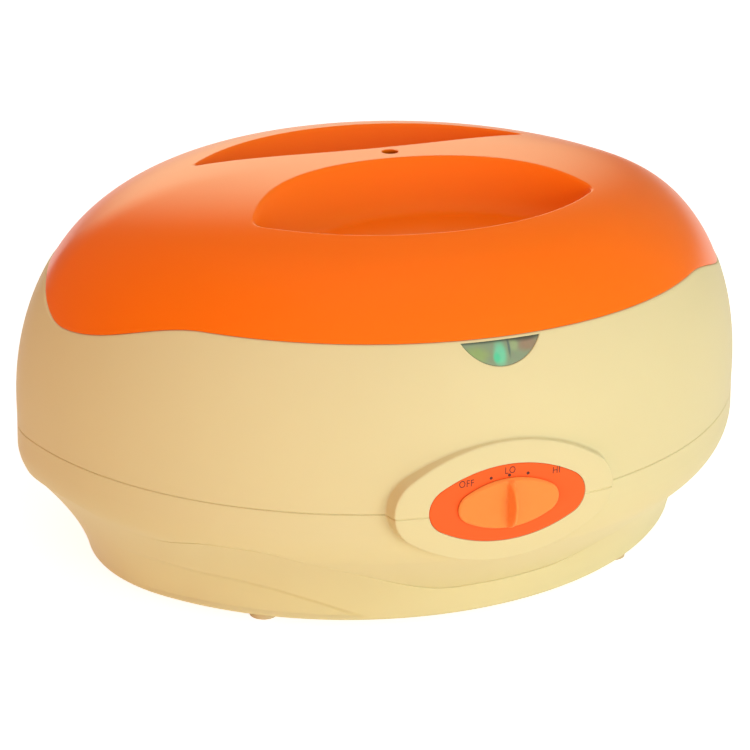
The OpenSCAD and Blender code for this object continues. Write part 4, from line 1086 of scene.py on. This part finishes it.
# Object
orange_pieces = [build_lid_top(), build_lid_shell(), build_lid_inside(), build_vent_wall()]
upper = build_upper()
drop_faces(upper, over_window)
cream_pieces = [upper, build_lower(), build_flank(), build_face(), build_recess()]
cream_pieces.append(window_band("window_rim", ((1.5, -0.02), (0.7, -0.03), (0.3, -0.02), (0.12, 0.03),
                                               (0.03, 0.12), (0.0, 0.3), (0.0, 2.0)), True))
cream_pieces.append(build_lintel())
lens = build_lens()
# dark sheet behind the gap round the lens: painted shade in the gap, dressed in the dark plastic
window_gap_shade = window_band("window_gap_shade", ((0.35, 0.7), (-0.3, 0.7)))
bezel = build_bezel()
knob = build_knob()
marks = [letter("mark_OFF", "OFF", -22.4, 90.5), letter("mark_LO", "LO", -1.6, 94.0),
         letter("mark_HI", "HI", 20.9, 90.7)]
marks += [dot(f"mark_dot_{i}", x, z) for i, (x, z) in enumerate([(-10.7, 91.6), (-1.9, 91.8), (7.1, 91.4)])]

ORANGE, CREAM = (0.98, 0.180, 0.003), (0.725, 0.665, 0.385)
BEZEL_RED, KNOB_ORANGE = (0.93, 0.125, 0.022), (0.96, 0.285, 0.060)
mats = {
    "lid_orange": plastic("Lid orange", ORANGE, 0.29, 0.12, (1, 0.25, 0.05), 0.04, 700.0, 0.012, 0.22),
    "housing_cream": plastic("Housing cream", CREAM, 0.48, 0.08, (1, 0.6, 0.3), 0.07, 1100.0, 0.010, 0.2),
    "bezel_orange": plastic("Bezel orange", BEZEL_RED, 0.5, grain=0.06, grain_scale=1200.0, specular=0.25),
    "knob_orange": plastic("Knob orange", KNOB_ORANGE, 0.46, 0.30, (1, 0.5, 0.25), 0.05, 1200.0,
                           specular=0.25),
    "black_plastic": plastic("Dark plastic and painted gap shade", (0.045, 0.05, 0.045), 0.4, grain=0.1),
    "grate_plastic": plastic("Grate plastic", (0.80, 0.76, 0.66), 0.4, grain=0.1),
    "block_plastic": plastic("Block plastic", (0.80, 0.80, 0.76), 0.45, grain=0.05),
    "ceramic": plastic("Ceramic", (0.76, 0.72, 0.62), 0.6, grain=0.2, grain_scale=600.0),
    "silicone": plastic("Silicone", (0.72, 0.71, 0.66), 0.55, grain=0.1),
    "heater_silicone": plastic("Heating mat", (0.50, 0.10, 0.03), 0.6, grain=0.4, grain_scale=500.0),
    "felt": plastic("Felt", (0.76, 0.73, 0.65), 0.95, grain=1.0, grain_scale=260.0, variation=0.08),
    "black_rubber": plastic("Rubber", (0.62, 0.50, 0.30), 0.75, grain=0.3, grain_scale=500.0),
    "steel": metal("Steel", (0.60, 0.61, 0.63), 0.34),
    "brass": metal("Brass", (0.75, 0.55, 0.25), 0.3),
    "aluminium": metal("Aluminium", (0.80, 0.81, 0.83), 0.3, 30, 45.0, 0.1),
    "clear_lens": lens_window("Lens"),
    "green_lamp": lamp_glass("Green lamp", (0.10, 0.75, 0.50), (0.10, 0.85, 0.55), 0.55),
    "red_lamp": lamp_glass("Red lamp", (0.55, 0.16, 0.12), (0.6, 0.12, 0.08), 0.12),
}
mark_ink = plastic("Printed marks", (0.09, 0.015, 0.008), 0.55, variation=0)

for subpart in frame["record"]["subparts"]:
    solid = nodes.get(subpart["node"])
    if solid is not None:
        dress(solid, mats[subpart["material_slot"]])
for piece in orange_pieces:
    dress(piece, mats["lid_orange"])
for piece in cream_pieces:
    dress(piece, mats["housing_cream"])
# the sheet behind the window's gap takes the dark plastic as painted shade
for piece, slot in ((lens, "clear_lens"), (window_gap_shade, "black_plastic"), (bezel, "bezel_orange"),
                    (knob, "knob_orange")):
    dress(piece, mats[slot])
for piece in marks:
    dress(piece, mark_ink)

build_floor()
build_world()
# Lamps: place and aim in metres, size, power and colour
softbox("key", (0.40, -1.9, 0.32), (0, 0, 0.08), (1.2, 1.0), 19.2, (0.985, 0.99, 0.97))
softbox("fill", (-1.25, -1.25, 0.22), (0, 0, 0.05), (1.0, 0.4), 2.4, (1.0, 0.50, 0.12))
softbox("top", (0, -0.1, 1.4), (0, 0, 0.15), (1.2, 1.2), 3.0, (1.0, 0.84, 0.70))
build_camera()
bpy.context.scene.view_settings.view_transform = "Standard"
